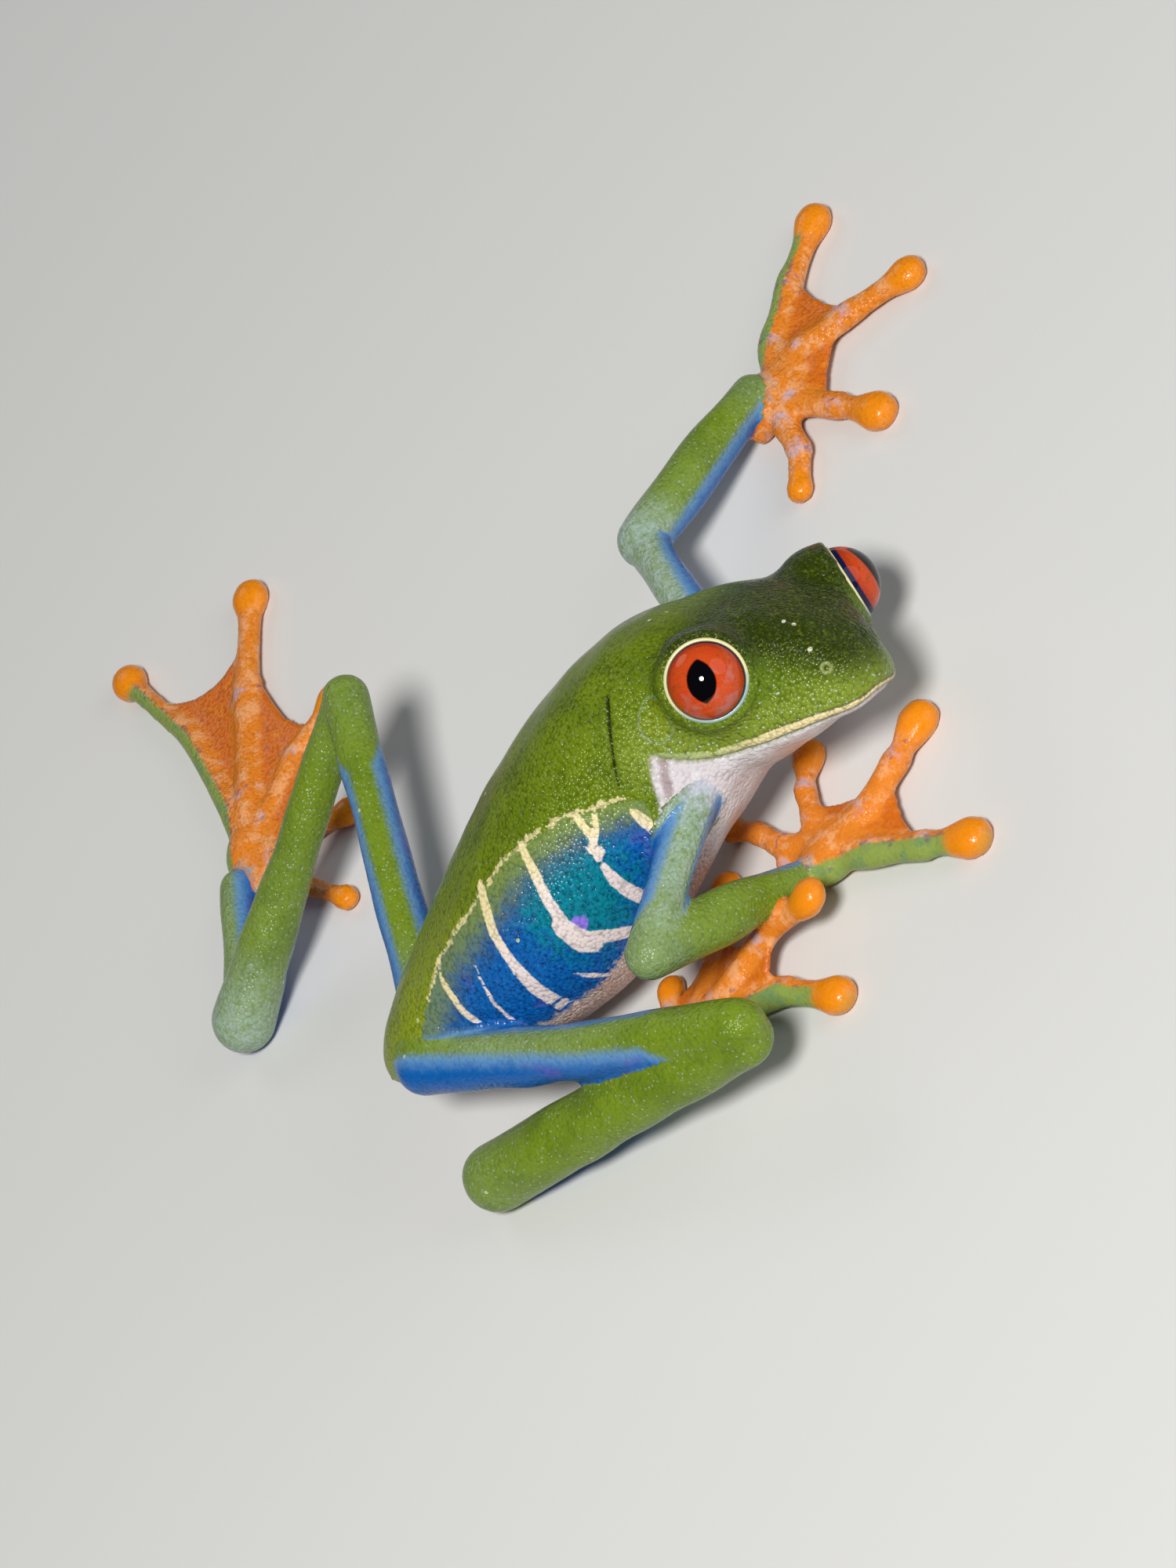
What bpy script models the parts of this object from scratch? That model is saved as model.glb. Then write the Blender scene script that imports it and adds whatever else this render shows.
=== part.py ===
"""Red-eyed tree frog crouched on a flat floor, life size. Lengths are millimetres until scaled by MM."""
import math

import bmesh
import bpy
from mathutils import Matrix, Vector
from mathutils.bvhtree import BVHTree

# Overall sizes
MM = 0.001
GAP = 0.3
SHIFT = Vector((-14.8, 3.2, 0.0))
UP = Vector((0.0, 0.0, 1.0))
SLAB_SIZE = 120.0
FLOOR_BOX = 200.0
FAR_OUT = 40.0
SHARP_ANGLE = 42.0

# Trunk: x, y, z of the middle, half width, half depth, roll in degrees
TRUNK = (
    (-5.8, 24.6, 8.3, 1.6, 1.5, 22.0),
    (-5.6, 22.6, 8.4, 3.4, 2.8, 22.0),
    (-5.7, 19.6, 8.5, 5.0, 4.1, 23.0),
    (-5.9, 15.3, 8.6, 6.7, 5.8, 23.5),
    (-6.6, 10.6, 8.8, 8.1, 7.6, 24.0),
    (-6.8, 6.0, 9.5, 8.7, 8.4, 24.5),
    (-6.4, 0.5, 10.8, 8.8, 8.6, 27.5),
    (-5.8, -4.8, 11.7, 8.7, 8.3, 31.0),
    (-5.7, -9.9, 11.7, 8.3, 8.0, 34.0),
    (-6.8, -13.4, 11.5, 7.2, 7.0, 37.0),
    (-8.3, -15.6, 11.3, 5.0, 4.8, 38.0),
)
TRUNK_SIDES = 20
TRUNK_SQUARENESS = 2.25
POLE_REACH = 0.3

# Head frame: middle of the line between the two eye openings, and the directions of the head
HEAD_AT = Vector((-9.6, -19.1, 13.35))
HEAD_FORWARD = Vector((-0.815, -0.578, -0.03))
HEAD_RIGHT = Vector((-0.47, 0.63, 0.62))

# Head sections: forward, top, canthus half width and height, cheek half width and height,
# lip half width and height, jaw half width, throat forward and height
HEAD_SECTIONS = (
    (7.7, -2.0, 1.2, -2.2, 1.9, -3.2, 1.9, -4.3, 1.5, 7.2, -5.2),
    (6.8, -0.9, 2.1, -1.1, 2.9, -3.0, 3.2, -4.4, 2.7, 6.2, -5.7),
    (5.0, 0.5, 3.1, 0.1, 4.2, -2.8, 4.8, -4.6, 4.0, 4.2, -6.4),
    (2.4, 1.9, 4.8, 1.5, 5.9, -2.6, 6.4, -5.0, 5.3, 1.6, -7.9),
    (-0.8, 2.6, 6.7, 2.3, 7.4, -2.4, 7.6, -5.4, 6.4, -1.4, -9.5),
    (-4.0, 3.0, 6.4, 1.9, 8.1, -2.6, 8.2, -6.0, 7.0, -4.2, -11.0),
    (-7.4, 3.2, 5.6, 1.4, 7.8, -3.0, 7.9, -6.6, 6.4, -7.0, -11.0),
    (-10.6, 2.4, 4.2, 0.4, 5.8, -3.4, 5.6, -6.4, 4.6, -10.2, -9.4),
)
HEAD_DETAIL = 0.7
SNOUT_TIP = (8.35, -3.3)
NAPE_END = (-11.6, -3.6)

# Eyes: opening half spacing and height, direction in the head frame, ball and lid sizes
EYE_SPREAD = 8.65
EYE_YAW = 50.0
EYE_LIFT = 15.0
EYE_BALL = 3.1
EYE_DEPTH = 1.2
LID_DEPTH = 0.75
EYE_CLEARANCE = 0.25
LID_OUTER = 3.9
LID_BACK = 1.15
LID_RING = 3.28
LID_ROLL = 0.28

# Face: mouth line, nostrils and eardrum rings
MOUTH_CENTRE = 1.5
MOUTH_REACH = 112.0
MOUTH_FRONT_HEIGHT = -4.78
MOUTH_CORNER_HEIGHT = -6.38
MOUTH_CURL = 1.6
MOUTH_KNOTS = 29
MOUTH_GROOVE = 0.24
NOSTRIL_AT = (6.5, 2.6, -1.5)
NOSTRIL_SIZE = 0.32
NOSTRIL_OUT = (0.3, 0.9, 0.45)
NOSTRIL_RIM = 0.48
NOSTRIL_RIM_THICKNESS = 0.19
EARDRUM_AT = (-4.7, -3.1)
EARDRUM_OUT = (0.0, 1.0, 0.1)
EARDRUM_SIZE = 1.4
EARDRUM_RIM = 0.24

# Neck cut between head and torso
NECK_POINT = Vector((-5.1, -9.2, 11.2))
NECK_NORMAL = Vector((-0.44, -0.88, 0.17))

# Limb joints
SHOULDER = {"right": (-11.7, -7.9, 11.6), "left": (1.8, -13.4, 6.4)}
ELBOW = {"right": (-21.1, 3.2, 11.8), "left": (16.1, -14.3, 6.9)}
WRIST = {"right": (-16.4, -6.3, 2.1), "left": (23.4, -27.0, 2.5)}
HIP = {"right": (-8.6, 22.1, 9.4), "left": (-2.8, 20.4, 6.8)}
KNEE = {"right": (-29.4, 2.0, 8.7), "left": (21.3, 9.5, 13.9)}
HEEL = {"right": (-15.0, 24.5, 2.55), "left": (18.3, 34.2, 2.45)}
SHIN = {"right": (-29.3, 2.6, 7.7), "left": (21.3, 9.7, 13.6)}
INSTEP = {"right": (-15.7, 24.2, 1.95), "left": (18.9, 34.2, 2.1)}
ANKLE = {"right": (-19.6, 13.6, 1.75), "left": (30.3, 28.8, 1.8)}

# Limb half thicknesses at the ends and the middle
UPPER_ARM = {"right": (1.9, 1.6, 1.75), "left": (1.9, 1.6, 1.7)}
FOREARM = {"right": (1.8, 2.05, 1.35), "left": (2.0, 2.05, 1.65)}
THIGH = {"right": (2.25, 2.15, 2.1), "left": (2.2, 1.8, 1.75)}
SHANK = {"right": (2.35, 2.5, 2.6), "left": (1.75, 1.75, 2.5)}
TARSUS = {"right": (1.75, 1.55, 1.5), "left": (1.7, 1.4, 1.45)}

# How far the middle of each segment bows off the straight line
LIMB_BOW = {"right": (0.0, 0.0, 0.2), "left": (0.0, 0.0, 0.2)}
THIGH_BOW = {"right": (-0.3, 0.4, 0.05), "left": (0.0, 0.0, 0.3)}
NO_BOW = {"right": (0.0, 0.0, 0.0), "left": (0.0, 0.0, 0.0)}

# Digits: bend points and disc centre of each, with the half thickness and the disc radius
FINGERS = {
    "right": (
        (((-11.8, -6.9, 1.25), (-8.8, -6.0, 1.1), (-6.4, -4.7, 0.85)), 0.85, 1.05),
        (((-12.6, -9.9, 1.35), (-9.4, -10.8, 1.1), (-7.1, -12.4, 0.85)), 0.85, 1.35),
        (((-16.2, -13.4, 1.5), (-14.5, -17.4, 1.15), (-13.1, -20.2, 0.85)), 1.1, 1.6),
        (((-19.6, -11.8, 1.5), (-22.8, -15.0, 1.15), (-25.3, -17.7, 0.85)), 1.1, 1.6),
    ),
    "left": (
        (((19.7, -27.3, 1.25), (16.7, -26.7, 1.1), (14.1, -24.9, 0.85)), 1.0, 1.1),
        (((20.6, -29.0, 1.35), (16.9, -31.2, 1.1), (13.6, -33.0, 0.85)), 1.05, 1.6),
        (((24.1, -31.8, 1.5), (23.3, -36.2, 1.15), (21.7, -41.6, 0.85)), 1.05, 1.45),
        (((26.8, -30.5, 1.5), (30.9, -34.7, 1.15), (34.1, -39.0, 0.85)), 1.1, 1.55),
    ),
}
TOES = {
    "right": (
        (((-17.4, 10.6, 1.2), (-15.4, 10.0, 1.0), (-13.2, 10.2, 0.8)), 0.75, 0.95),
        (((-17.2, 8.8, 1.3), (-15.2, 7.4, 1.1), (-13.3, 6.3, 0.85)), 0.8, 1.15),
        (((-17.2, 5.2, 1.4), (-14.0, 1.2, 1.1), (-10.3, -1.5, 0.85)), 0.85, 1.35),
        (((-18.4, 3.8, 1.5), (-18.5, -1.8, 2.5), (-20.9, -6.6, 4.2)), 0.95, 1.45),
        (((-19.8, 4.4, 1.4), (-22.3, -0.3, 1.15), (-26.2, -3.1, 0.85)), 1.1, 1.5),
    ),
    "left": (
        (((28.4, 26.6, 1.2), (25.0, 24.2, 1.0), (21.2, 22.4, 0.8)), 0.75, 1.05),
        (((30.4, 25.6, 1.3), (29.2, 21.8, 1.1), (27.9, 18.3, 0.85)), 0.8, 1.25),
        (((34.0, 24.2, 1.4), (37.2, 19.2, 1.1), (38.6, 14.0, 0.85)), 0.85, 1.4),
        (((37.5, 23.9, 1.5), (46.5, 19.6, 1.15), (55.1, 14.7, 0.85)), 1.1, 1.6),
        (((37.6, 25.8, 1.5), (48.4, 25.2, 1.15), (59.6, 27.0, 0.85)), 0.95, 1.55),
    ),
}
PALM = {"right": (-16.4, -9.4, 1.3), "left": (23.0, -29.0, 1.3)}
SOLE = {"right": (-18.9, 9.6, 1.3), "left": (33.2, 26.6, 1.3)}
THUMB_PAD = {"right": (-13.2, -6.6, 1.0), "left": (21.6, -25.6, 1.0)}
PALM_SIZE = (2.7, 2.4, 1.4)
SOLE_SIZE = (2.9, 1.9, 1.4)
THUMB_PAD_SIZE = (1.1, 0.95, 0.9)
DISC_SQUASH = 0.72
WAIST_REACH = 1.25
DIGIT_SHARES = (1.15, 1.1, 0.95, 1.02, 0.88, 0.92)
DISC_SHARES = ((-0.62, 0.82), (0.0, 1.0), (0.6, 0.8), (0.9, 0.42))
DIGIT_ROOT = 0.2
WEB_THICKNESS = 0.6
WEB_DIP = 0.84
WEB_SHARES = (0.4, 0.75, 1.0)
WEB_BOW = (0.2, 0.4, 0.6, 0.8)
FINGER_WEB_REACH = (0.35, 0.55, 0.72)
TOE_WEB_REACH = {"right": (0.55, 0.75, 0.8, 0.8), "left": (0.55, 0.76, 0.84, 0.88)}

# Colours seen on the animal
SKIN_GREEN = (0.20, 0.34, 0.03)
LIMB_GREEN = (0.27, 0.42, 0.05)
ARM_BLUE = (0.12, 0.30, 0.48)
DIGIT_ORANGE = (0.90, 0.30, 0.03)
IRIS_RED = (0.65, 0.07, 0.01)


def clear_scene():
    """Removes the objects of the starting scene."""
    for item in list(bpy.data.objects):
        bpy.data.objects.remove(item, do_unlink=True)


def new_collection(name):
    """A collection linked to the scene."""
    made = bpy.data.collections.new(name)
    bpy.context.scene.collection.children.link(made)
    return made


def material(name, colour, roughness):
    """A plain Principled material."""
    made = bpy.data.materials.new(name)
    made.use_nodes = True
    shader = made.node_tree.nodes["Principled BSDF"]
    shader.inputs["Base Color"].default_value = (*colour, 1.0)
    shader.inputs["Roughness"].default_value = roughness
    made.diffuse_color = (*colour, 1.0)
    return made


def add_object(name, data):
    """Links new object data to the working collection."""
    made = bpy.data.objects.new(name, data)
    WORK.objects.link(made)
    made.display_type = "WIRE"
    return made


def add_mesh(name, points, faces):
    """A mesh object from points in millimetres on the floor frame."""
    mesh = bpy.data.meshes.new(name)
    mesh.from_pydata([(Vector(p) + SHIFT) * MM for p in points], [], faces)
    mesh.validate()
    return add_object(name, mesh)


def realised(item):
    """Swaps an object for a closed mesh of its evaluated shape."""
    seen = bpy.context.evaluated_depsgraph_get()
    mesh = bpy.data.meshes.new_from_object(item.evaluated_get(seen))
    name = item.name
    where = item.matrix_world.copy()
    bpy.data.objects.remove(item, do_unlink=True)
    mesh.transform(where)
    work = bmesh.new()
    work.from_mesh(mesh)
    bmesh.ops.remove_doubles(work, verts=work.verts, dist=1e-6)
    bmesh.ops.recalc_face_normals(work, faces=work.faces)
    work.to_mesh(mesh)
    work.free()
    return add_object(name, mesh)


def tube(name, points, radii, sides=12, steps=5, grow=0.0):
    """A round bar through the points, its half thickness following radii, with filled ends."""
    curve = bpy.data.curves.new(name, "CURVE")
    curve.dimensions = "3D"
    curve.bevel_depth = MM
    curve.bevel_resolution = (sides - 4) // 2
    curve.resolution_u = steps
    curve.use_fill_caps = True
    line = curve.splines.new("BEZIER")
    line.bezier_points.add(len(points) - 1)
    for knot, point, radius in zip(line.bezier_points, points, radii):
        knot.co = (Vector(point) + SHIFT) * MM
        knot.handle_left_type = "AUTO"
        knot.handle_right_type = "AUTO"
        knot.radius = radius + grow
    return realised(add_object(name, curve))


def ball(name, centre, radii, turn=None, segments=16, rings=10):
    """A ball stretched to three half sizes."""
    mesh = bpy.data.meshes.new(name)
    work = bmesh.new()
    bmesh.ops.create_uvsphere(work, u_segments=segments, v_segments=rings, radius=1.0)
    work.to_mesh(mesh)
    work.free()
    size = Matrix.Diagonal((*[r * MM for r in radii], 1.0))
    facing = turn.to_4x4() if turn else Matrix.Identity(4)
    mesh.transform(Matrix.Translation((Vector(centre) + SHIFT) * MM) @ facing @ size)
    return add_object(name, mesh)


def ring(name, centre, axis, radius, thickness, around=28, section=8):
    """A closed round ring about an axis."""
    turn = axis.to_track_quat("Z", "Y").to_matrix()
    points = []
    faces = []
    for i in range(around):
        a = 2.0 * math.pi * i / around
        out = turn @ Vector((math.cos(a), math.sin(a), 0.0))
        for j in range(section):
            b = 2.0 * math.pi * j / section
            spoke = out * (radius + thickness * math.cos(b))
            points.append(Vector(centre) + spoke + axis * thickness * math.sin(b))
    for i in range(around):
        for j in range(section):
            k = (i + 1) % around
            m = (j + 1) % section
            faces.append((i * section + j, k * section + j, k * section + m, i * section + m))
    return add_mesh(name, points, faces)


def sheet(name, base, edge, thickness):
    """A thin web: a fan of triangles from its base to its edge."""
    points = [Vector(base)] + edge
    faces = [(0, i, i + 1) for i in range(1, len(edge))]
    made = add_mesh(name, points, faces)
    skin = made.modifiers.new("thickness", "SOLIDIFY")
    skin.thickness = thickness * MM
    skin.offset = 0.0
    return realised(made)


def remove_all(items):
    """Removes finished helper objects."""
    for item in items:
        bpy.data.objects.remove(item, do_unlink=True)


def boolean(base, others, operation):
    """Applies one Boolean of a collection of closed meshes to the base."""
    tools = bpy.data.collections.new("operands")
    bpy.context.scene.collection.children.link(tools)
    for item in others:
        tools.objects.link(item)
    step = base.modifiers.new("join", "BOOLEAN")
    step.operation = operation
    step.operand_type = "COLLECTION"
    step.collection = tools
    step.solver = "MANIFOLD"
    done = realised(base)
    remove_all(others)
    bpy.data.collections.remove(tools)
    return done


def fuse(name, pieces):
    """One closed mesh from overlapping pieces."""
    done = boolean(pieces[0], pieces[1:], "UNION")
    done.name = name
    return done


def slab(name, point, normal, side):
    """A large box on one side of a plane, half the gap away from it."""
    turn = normal.to_track_quat("Z", "Y").to_matrix().to_4x4()
    mesh = bpy.data.meshes.new(name)
    work = bmesh.new()
    bmesh.ops.create_cube(work, size=SLAB_SIZE * MM)
    work.to_mesh(mesh)
    work.free()
    middle = Vector(point) + normal * side * (SLAB_SIZE - GAP) / 2.0
    mesh.transform(Matrix.Translation((middle + SHIFT) * MM) @ turn)
    return add_object(name, mesh)


def below_floor():
    """A box whose top is the floor."""
    mesh = bpy.data.meshes.new("floor_cut")
    work = bmesh.new()
    bmesh.ops.create_cube(work, size=FLOOR_BOX * MM)
    work.to_mesh(mesh)
    work.free()
    mesh.transform(Matrix.Translation((0.0, 0.0, -FLOOR_BOX * MM / 2.0)))
    return add_object("floor_cut", mesh)


def keep_largest(item):
    """Keeps the largest closed surface of a node and drops scraps and sealed hollows."""
    work = bmesh.new()
    work.from_mesh(item.data)
    waiting = set(work.faces)
    shells = []
    while waiting:
        shell = set()
        front = [waiting.pop()]
        while front:
            face = front.pop()
            shell.add(face)
            for edge in face.edges:
                for other in edge.link_faces:
                    if other in waiting:
                        waiting.discard(other)
                        front.append(other)
        shells.append(shell)
    shells.sort(key=len)
    for shell in shells[:-1]:
        bmesh.ops.delete(work, geom=list(shell), context="FACES")
    bmesh.ops.triangulate(work, faces=work.faces)
    work.to_mesh(item.data)
    work.free()


def finish(item, name, colour, roughness):
    """Names a node, gives it its material and smooth shading, and moves it to the frog's collection."""
    keep_largest(item)
    item.name = name
    item.data.name = name
    item.data.materials.clear()
    item.data.materials.append(material(name, colour, roughness))
    item.data.shade_smooth()
    item.data.set_sharp_from_angle(angle=math.radians(SHARP_ANGLE))
    for user in list(item.users_collection):
        user.objects.unlink(item)
    FROG.objects.link(item)
    item.display_type = "TEXTURED"
    return item


def trunk_frames():
    """Middle, right and dorsal directions of each trunk section."""
    middles = [Vector(row[:3]) for row in TRUNK]
    frames = []
    for i, row in enumerate(TRUNK):
        ahead = middles[min(i + 1, len(middles) - 1)]
        behind = middles[max(i - 1, 0)]
        along = (ahead - behind).normalized()
        level = along.cross(UP).normalized()
        lift = level.cross(along)
        roll = math.radians(row[5])
        right = level * math.cos(roll) + lift * math.sin(roll)
        frames.append((middles[i], right, right.cross(along)))
    return frames


def build_trunk():
    """The trunk as one smooth cage of rounded sections."""
    points = []
    faces = []
    for (middle, right, dorsal), row in zip(trunk_frames(), TRUNK):
        for j in range(TRUNK_SIDES):
            a = 2.0 * math.pi * (j + 0.5) / TRUNK_SIDES
            c = math.copysign(abs(math.cos(a)) ** (2.0 / TRUNK_SQUARENESS), math.cos(a))
            s = math.copysign(abs(math.sin(a)) ** (2.0 / TRUNK_SQUARENESS), math.sin(a))
            points.append(middle + right * row[3] * c + dorsal * row[4] * s)
    n = TRUNK_SIDES
    for i in range(len(TRUNK) - 1):
        for j in range(n):
            k = (j + 1) % n
            faces.append((i * n + j, i * n + k, (i + 1) * n + k, (i + 1) * n + j))
    for at, first in ((0, 0), (len(TRUNK) - 1, (len(TRUNK) - 1) * n)):
        inner = TRUNK[1] if at == 0 else TRUNK[-2]
        points.append(Vector(TRUNK[at][:3]) * (1.0 + POLE_REACH) - Vector(inner[:3]) * POLE_REACH)
        pole = len(points) - 1
        faces += [(pole, first + j, first + (j + 1) % n) for j in range(n)]
    made = add_mesh("trunk", points, faces)
    smooth = made.modifiers.new("smooth", "SUBSURF")
    smooth.levels = 1
    smooth.render_levels = 1
    return realised(made)


def head_matrix():
    """Turns head coordinates (forward, right, up) in millimetres into metres on the floor frame."""
    forward = HEAD_FORWARD.normalized()
    right = (HEAD_RIGHT - forward * HEAD_RIGHT.dot(forward)).normalized()
    up = right.cross(forward)
    turn = Matrix((forward, right, up)).transposed().to_4x4()
    return Matrix.Translation((HEAD_AT + SHIFT) * MM) @ turn @ Matrix.Scale(MM, 4)


def head_point(forward, right, up):
    """A head coordinate on the floor frame, in millimetres before the shift."""
    return head_matrix() @ Vector((forward, right, up)) / MM - SHIFT


def head_direction(forward, right, up):
    """A head direction on the floor frame."""
    return (head_matrix().to_3x3() @ Vector((forward, right, up))).normalized()


def build_head_form():
    """Half of the head's sections, mirrored and smoothed."""
    points = []
    faces = []
    for f, top, canthus, canthus_up, cheek, cheek_up, lip, lip_up, jaw, throat_f, throat_up in HEAD_SECTIONS:
        points += [
            (f, 0.0, top),
            (f, canthus, canthus_up + 0.3),
            (f, cheek, cheek_up),
            (f, lip + 0.1, lip_up + 0.35),
            (f - 0.1, lip - 0.2, lip_up * 0.7 + throat_up * 0.3),
            ((f + throat_f) / 2.0, jaw * 0.9, lip_up * 0.25 + throat_up * 0.75),
            (throat_f, 0.0, throat_up),
        ]
    n = 7
    for i in range(len(HEAD_SECTIONS) - 1):
        for j in range(n - 1):
            faces.append((i * n + j, i * n + j + 1, (i + 1) * n + j + 1, (i + 1) * n + j))
    for (f, up), first in ((SNOUT_TIP, 0), (NAPE_END, (len(HEAD_SECTIONS) - 1) * n)):
        points.append((f, 0.0, up))
        pole = len(points) - 1
        faces += [(pole, first + j, first + j + 1) for j in range(n - 1)]
    mesh = bpy.data.meshes.new("head_form")
    mesh.from_pydata(points, [], faces)
    made = add_object("head_form", mesh)
    whole = made.modifiers.new("both sides", "MIRROR")
    whole.use_axis = (False, True, False)
    whole.merge_threshold = 0.0001
    smooth = made.modifiers.new("smooth", "SUBSURF")
    smooth.levels = 2
    smooth.render_levels = 2
    lighter = made.modifiers.new("lighter", "DECIMATE")
    lighter.ratio = HEAD_DETAIL
    made.matrix_world = head_matrix()
    return realised(made)


def eye_frame(side):
    """Ball centre and outward direction of an eye; side is +1 for right and -1 for left."""
    yaw = math.radians(EYE_YAW)
    lift = math.radians(EYE_LIFT)
    local = Vector((math.cos(lift) * math.cos(yaw), side * math.cos(lift) * math.sin(yaw), math.sin(lift)))
    opening = head_point(0.0, side * EYE_SPREAD, 0.0)
    axis = head_direction(*local)
    return opening - axis * EYE_DEPTH, axis


def eye_turn(axis):
    """Turns a ball's poles onto an eye's direction."""
    return axis.to_track_quat("Z", "Y").to_matrix()


def surface_finder(item):
    """A search tree of the item's faces in metres."""
    work = bmesh.new()
    work.from_mesh(item.data)
    tree = BVHTree.FromBMesh(work)
    work.free()
    return tree


def on_surface(tree, start, direction):
    """Outermost point where a line from far outside meets the surface."""
    away = (start + direction * FAR_OUT + SHIFT) * MM
    found = tree.ray_cast(away, -direction)
    return found[0] / MM - SHIFT, found[1]


def mouth_path(tree):
    """Points along the lips on the head's surface, from the right corner round to the left one."""
    path = []
    for i in range(MOUTH_KNOTS):
        t = 2.0 * i / (MOUTH_KNOTS - 1) - 1.0
        a = math.radians(MOUTH_REACH) * -t
        up = MOUTH_FRONT_HEIGHT + (MOUTH_CORNER_HEIGHT - MOUTH_FRONT_HEIGHT) * abs(t) ** MOUTH_CURL
        start = head_point(MOUTH_CENTRE, 0.0, up)
        direction = head_direction(math.cos(a), math.sin(a), 0.0)
        path.append(on_surface(tree, start, direction)[0])
    for _ in range(2):
        middle = [(a + b * 2.0 + c) / 4.0 for a, b, c in zip(path, path[1:], path[2:])]
        path = [path[0]] + middle + [path[-1]]
    return path


def build_head(body):
    """The head in front of the neck cut, with lids, lips, nostrils and eardrum rings."""
    head = boolean(body, [slab("behind_neck", NECK_POINT, NECK_NORMAL.normalized(), -1.0)], "DIFFERENCE")
    tree = surface_finder(head)
    added = []
    cuts = []
    for side in (1.0, -1.0):
        centre, axis = eye_frame(side)
        added.append(ring("lid", centre + axis * LID_DEPTH, axis, LID_RING, LID_ROLL, 24, 6))
        cuts.append(ball("socket", centre, [EYE_BALL + EYE_CLEARANCE] * 3, eye_turn(axis), 20, 12))
        out = head_direction(NOSTRIL_OUT[0], side * NOSTRIL_OUT[1], NOSTRIL_OUT[2])
        spot, _ = on_surface(tree, head_point(NOSTRIL_AT[0], side * NOSTRIL_AT[1], NOSTRIL_AT[2]), out)
        added.append(ring("nostril_rim", spot, out, NOSTRIL_RIM, NOSTRIL_RIM_THICKNESS, 12, 6))
        cuts.append(ball("nostril", spot, [NOSTRIL_SIZE] * 3, None, 8, 6))
        out = head_direction(EARDRUM_OUT[0], side * EARDRUM_OUT[1], EARDRUM_OUT[2])
        ear, facing = on_surface(tree, head_point(EARDRUM_AT[0], 0.0, EARDRUM_AT[1]), out)
        added.append(ring("eardrum", ear, facing, EARDRUM_SIZE, EARDRUM_RIM, 16, 6))
    head = boolean(head, added, "UNION")
    groove = mouth_path(tree)
    cuts.append(tube("mouth", groove, [MOUTH_GROOVE] * len(groove), 6, 1))
    return boolean(head, cuts, "DIFFERENCE")


def limb_pieces(side):
    """Bend points and half thicknesses of each limb segment."""
    def middle(a, b, bow):
        return (Vector(a) + Vector(b)) / 2.0 + Vector(bow)

    segments = {
        "upper_arm": (SHOULDER, ELBOW, UPPER_ARM, LIMB_BOW),
        "forearm": (ELBOW, WRIST, FOREARM, LIMB_BOW),
        "thigh": (HIP, KNEE, THIGH, THIGH_BOW),
        "shank": (SHIN, HEEL, SHANK, LIMB_BOW),
        "tarsus": (INSTEP, ANKLE, TARSUS, NO_BOW),
    }
    made = {}
    for name, (start, end, radii, bow) in segments.items():
        made[name] = ([start[side], middle(start[side], end[side], bow[side]), end[side]], radii[side])
    return made


def limb(name, points, radii, grow=0.0, sides=12):
    """A limb segment as one bar with rounded ends."""
    first, last = Vector(points[0]), Vector(points[-1])
    back = (first - Vector(points[1])).normalized()
    ahead = (last - Vector(points[-2])).normalized()
    knots = [first + back * (radii[0] + grow) * reach for reach in (0.96, 0.72)]
    knots += [Vector(p) for p in points]
    knots += [last + ahead * (radii[-1] + grow) * reach for reach in (0.72, 0.96)]
    sizes = [(radii[0] + grow) * share for share in (0.28, 0.7)]
    sizes += [r + grow for r in radii]
    sizes += [(radii[-1] + grow) * share for share in (0.7, 0.28)]
    return tube(name, knots, sizes, sides, 3)


def digit(name, line, thick, disc):
    """A finger or toe: one bar along the line that swells into a flattened disc."""
    points = [Vector(p) for p in line]
    way = (points[-1] - points[-2]).normalized()
    tip = points[-1]
    waist = tip - way * disc * WAIST_REACH
    knots = [points[0], points[1], points[1].lerp(points[2], 0.5)]
    knots += [points[2], points[2].lerp(waist, 0.5), waist]
    sizes = [thick * share for share in DIGIT_SHARES]
    for reach, share in DISC_SHARES:
        knots.append(tip + way * disc * reach)
        sizes.append(disc * share)
    made = tube(name, knots, sizes, 8, 1)
    for corner in made.data.vertices:
        flat = corner.co / MM - SHIFT
        best = min(zip(knots, knots[1:]), key=lambda pair: gap_to(flat, pair)[0])
        middle = gap_to(flat, best)[1]
        corner.co.z = (middle + (flat.z - middle) * DISC_SQUASH) * MM
    return made


def gap_to(point, pair):
    """Distance on the floor from a point to a segment, and the segment's height there."""
    a, b = pair
    way = (b - a).xy
    share = max(0.0, min(1.0, (point - a).xy.dot(way) / max(way.length_squared, 1e-9)))
    return (point.xy - a.xy - way * share).length, a.z + (b.z - a.z) * share


def along(points, share):
    """A point part of the way along a bent line."""
    lengths = [(b - a).length for a, b in zip(points, points[1:])]
    left = share * sum(lengths)
    for a, b, length in zip(points, points[1:], lengths):
        if left <= length:
            return a + (b - a) * (left / length)
        left -= length
    return points[-1]


def webs(palm, digits, reaches):
    """Webs between neighbouring digits, with the free edge drawn in to a dip."""
    made = []
    start = Vector(palm)
    for first, second, reach in zip(digits, digits[1:], reaches):
        lines = [[start] + [Vector(p) for p in digit_row[0]] for digit_row in (first, second)]
        near = [along(lines[0], reach * share) for share in WEB_SHARES]
        far = [along(lines[1], reach * share) for share in reversed(WEB_SHARES)]
        dip = start.lerp((near[-1] + far[0]) / 2.0, WEB_DIP)
        pull = dip * 2.0 - (near[-1] + far[0]) / 2.0
        bow = [near[-1].lerp(pull, t).lerp(pull.lerp(far[0], t), t) for t in WEB_BOW]
        edge = near + bow + far
        made.append(sheet("web", start, edge, WEB_THICKNESS))
    return made


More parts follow.
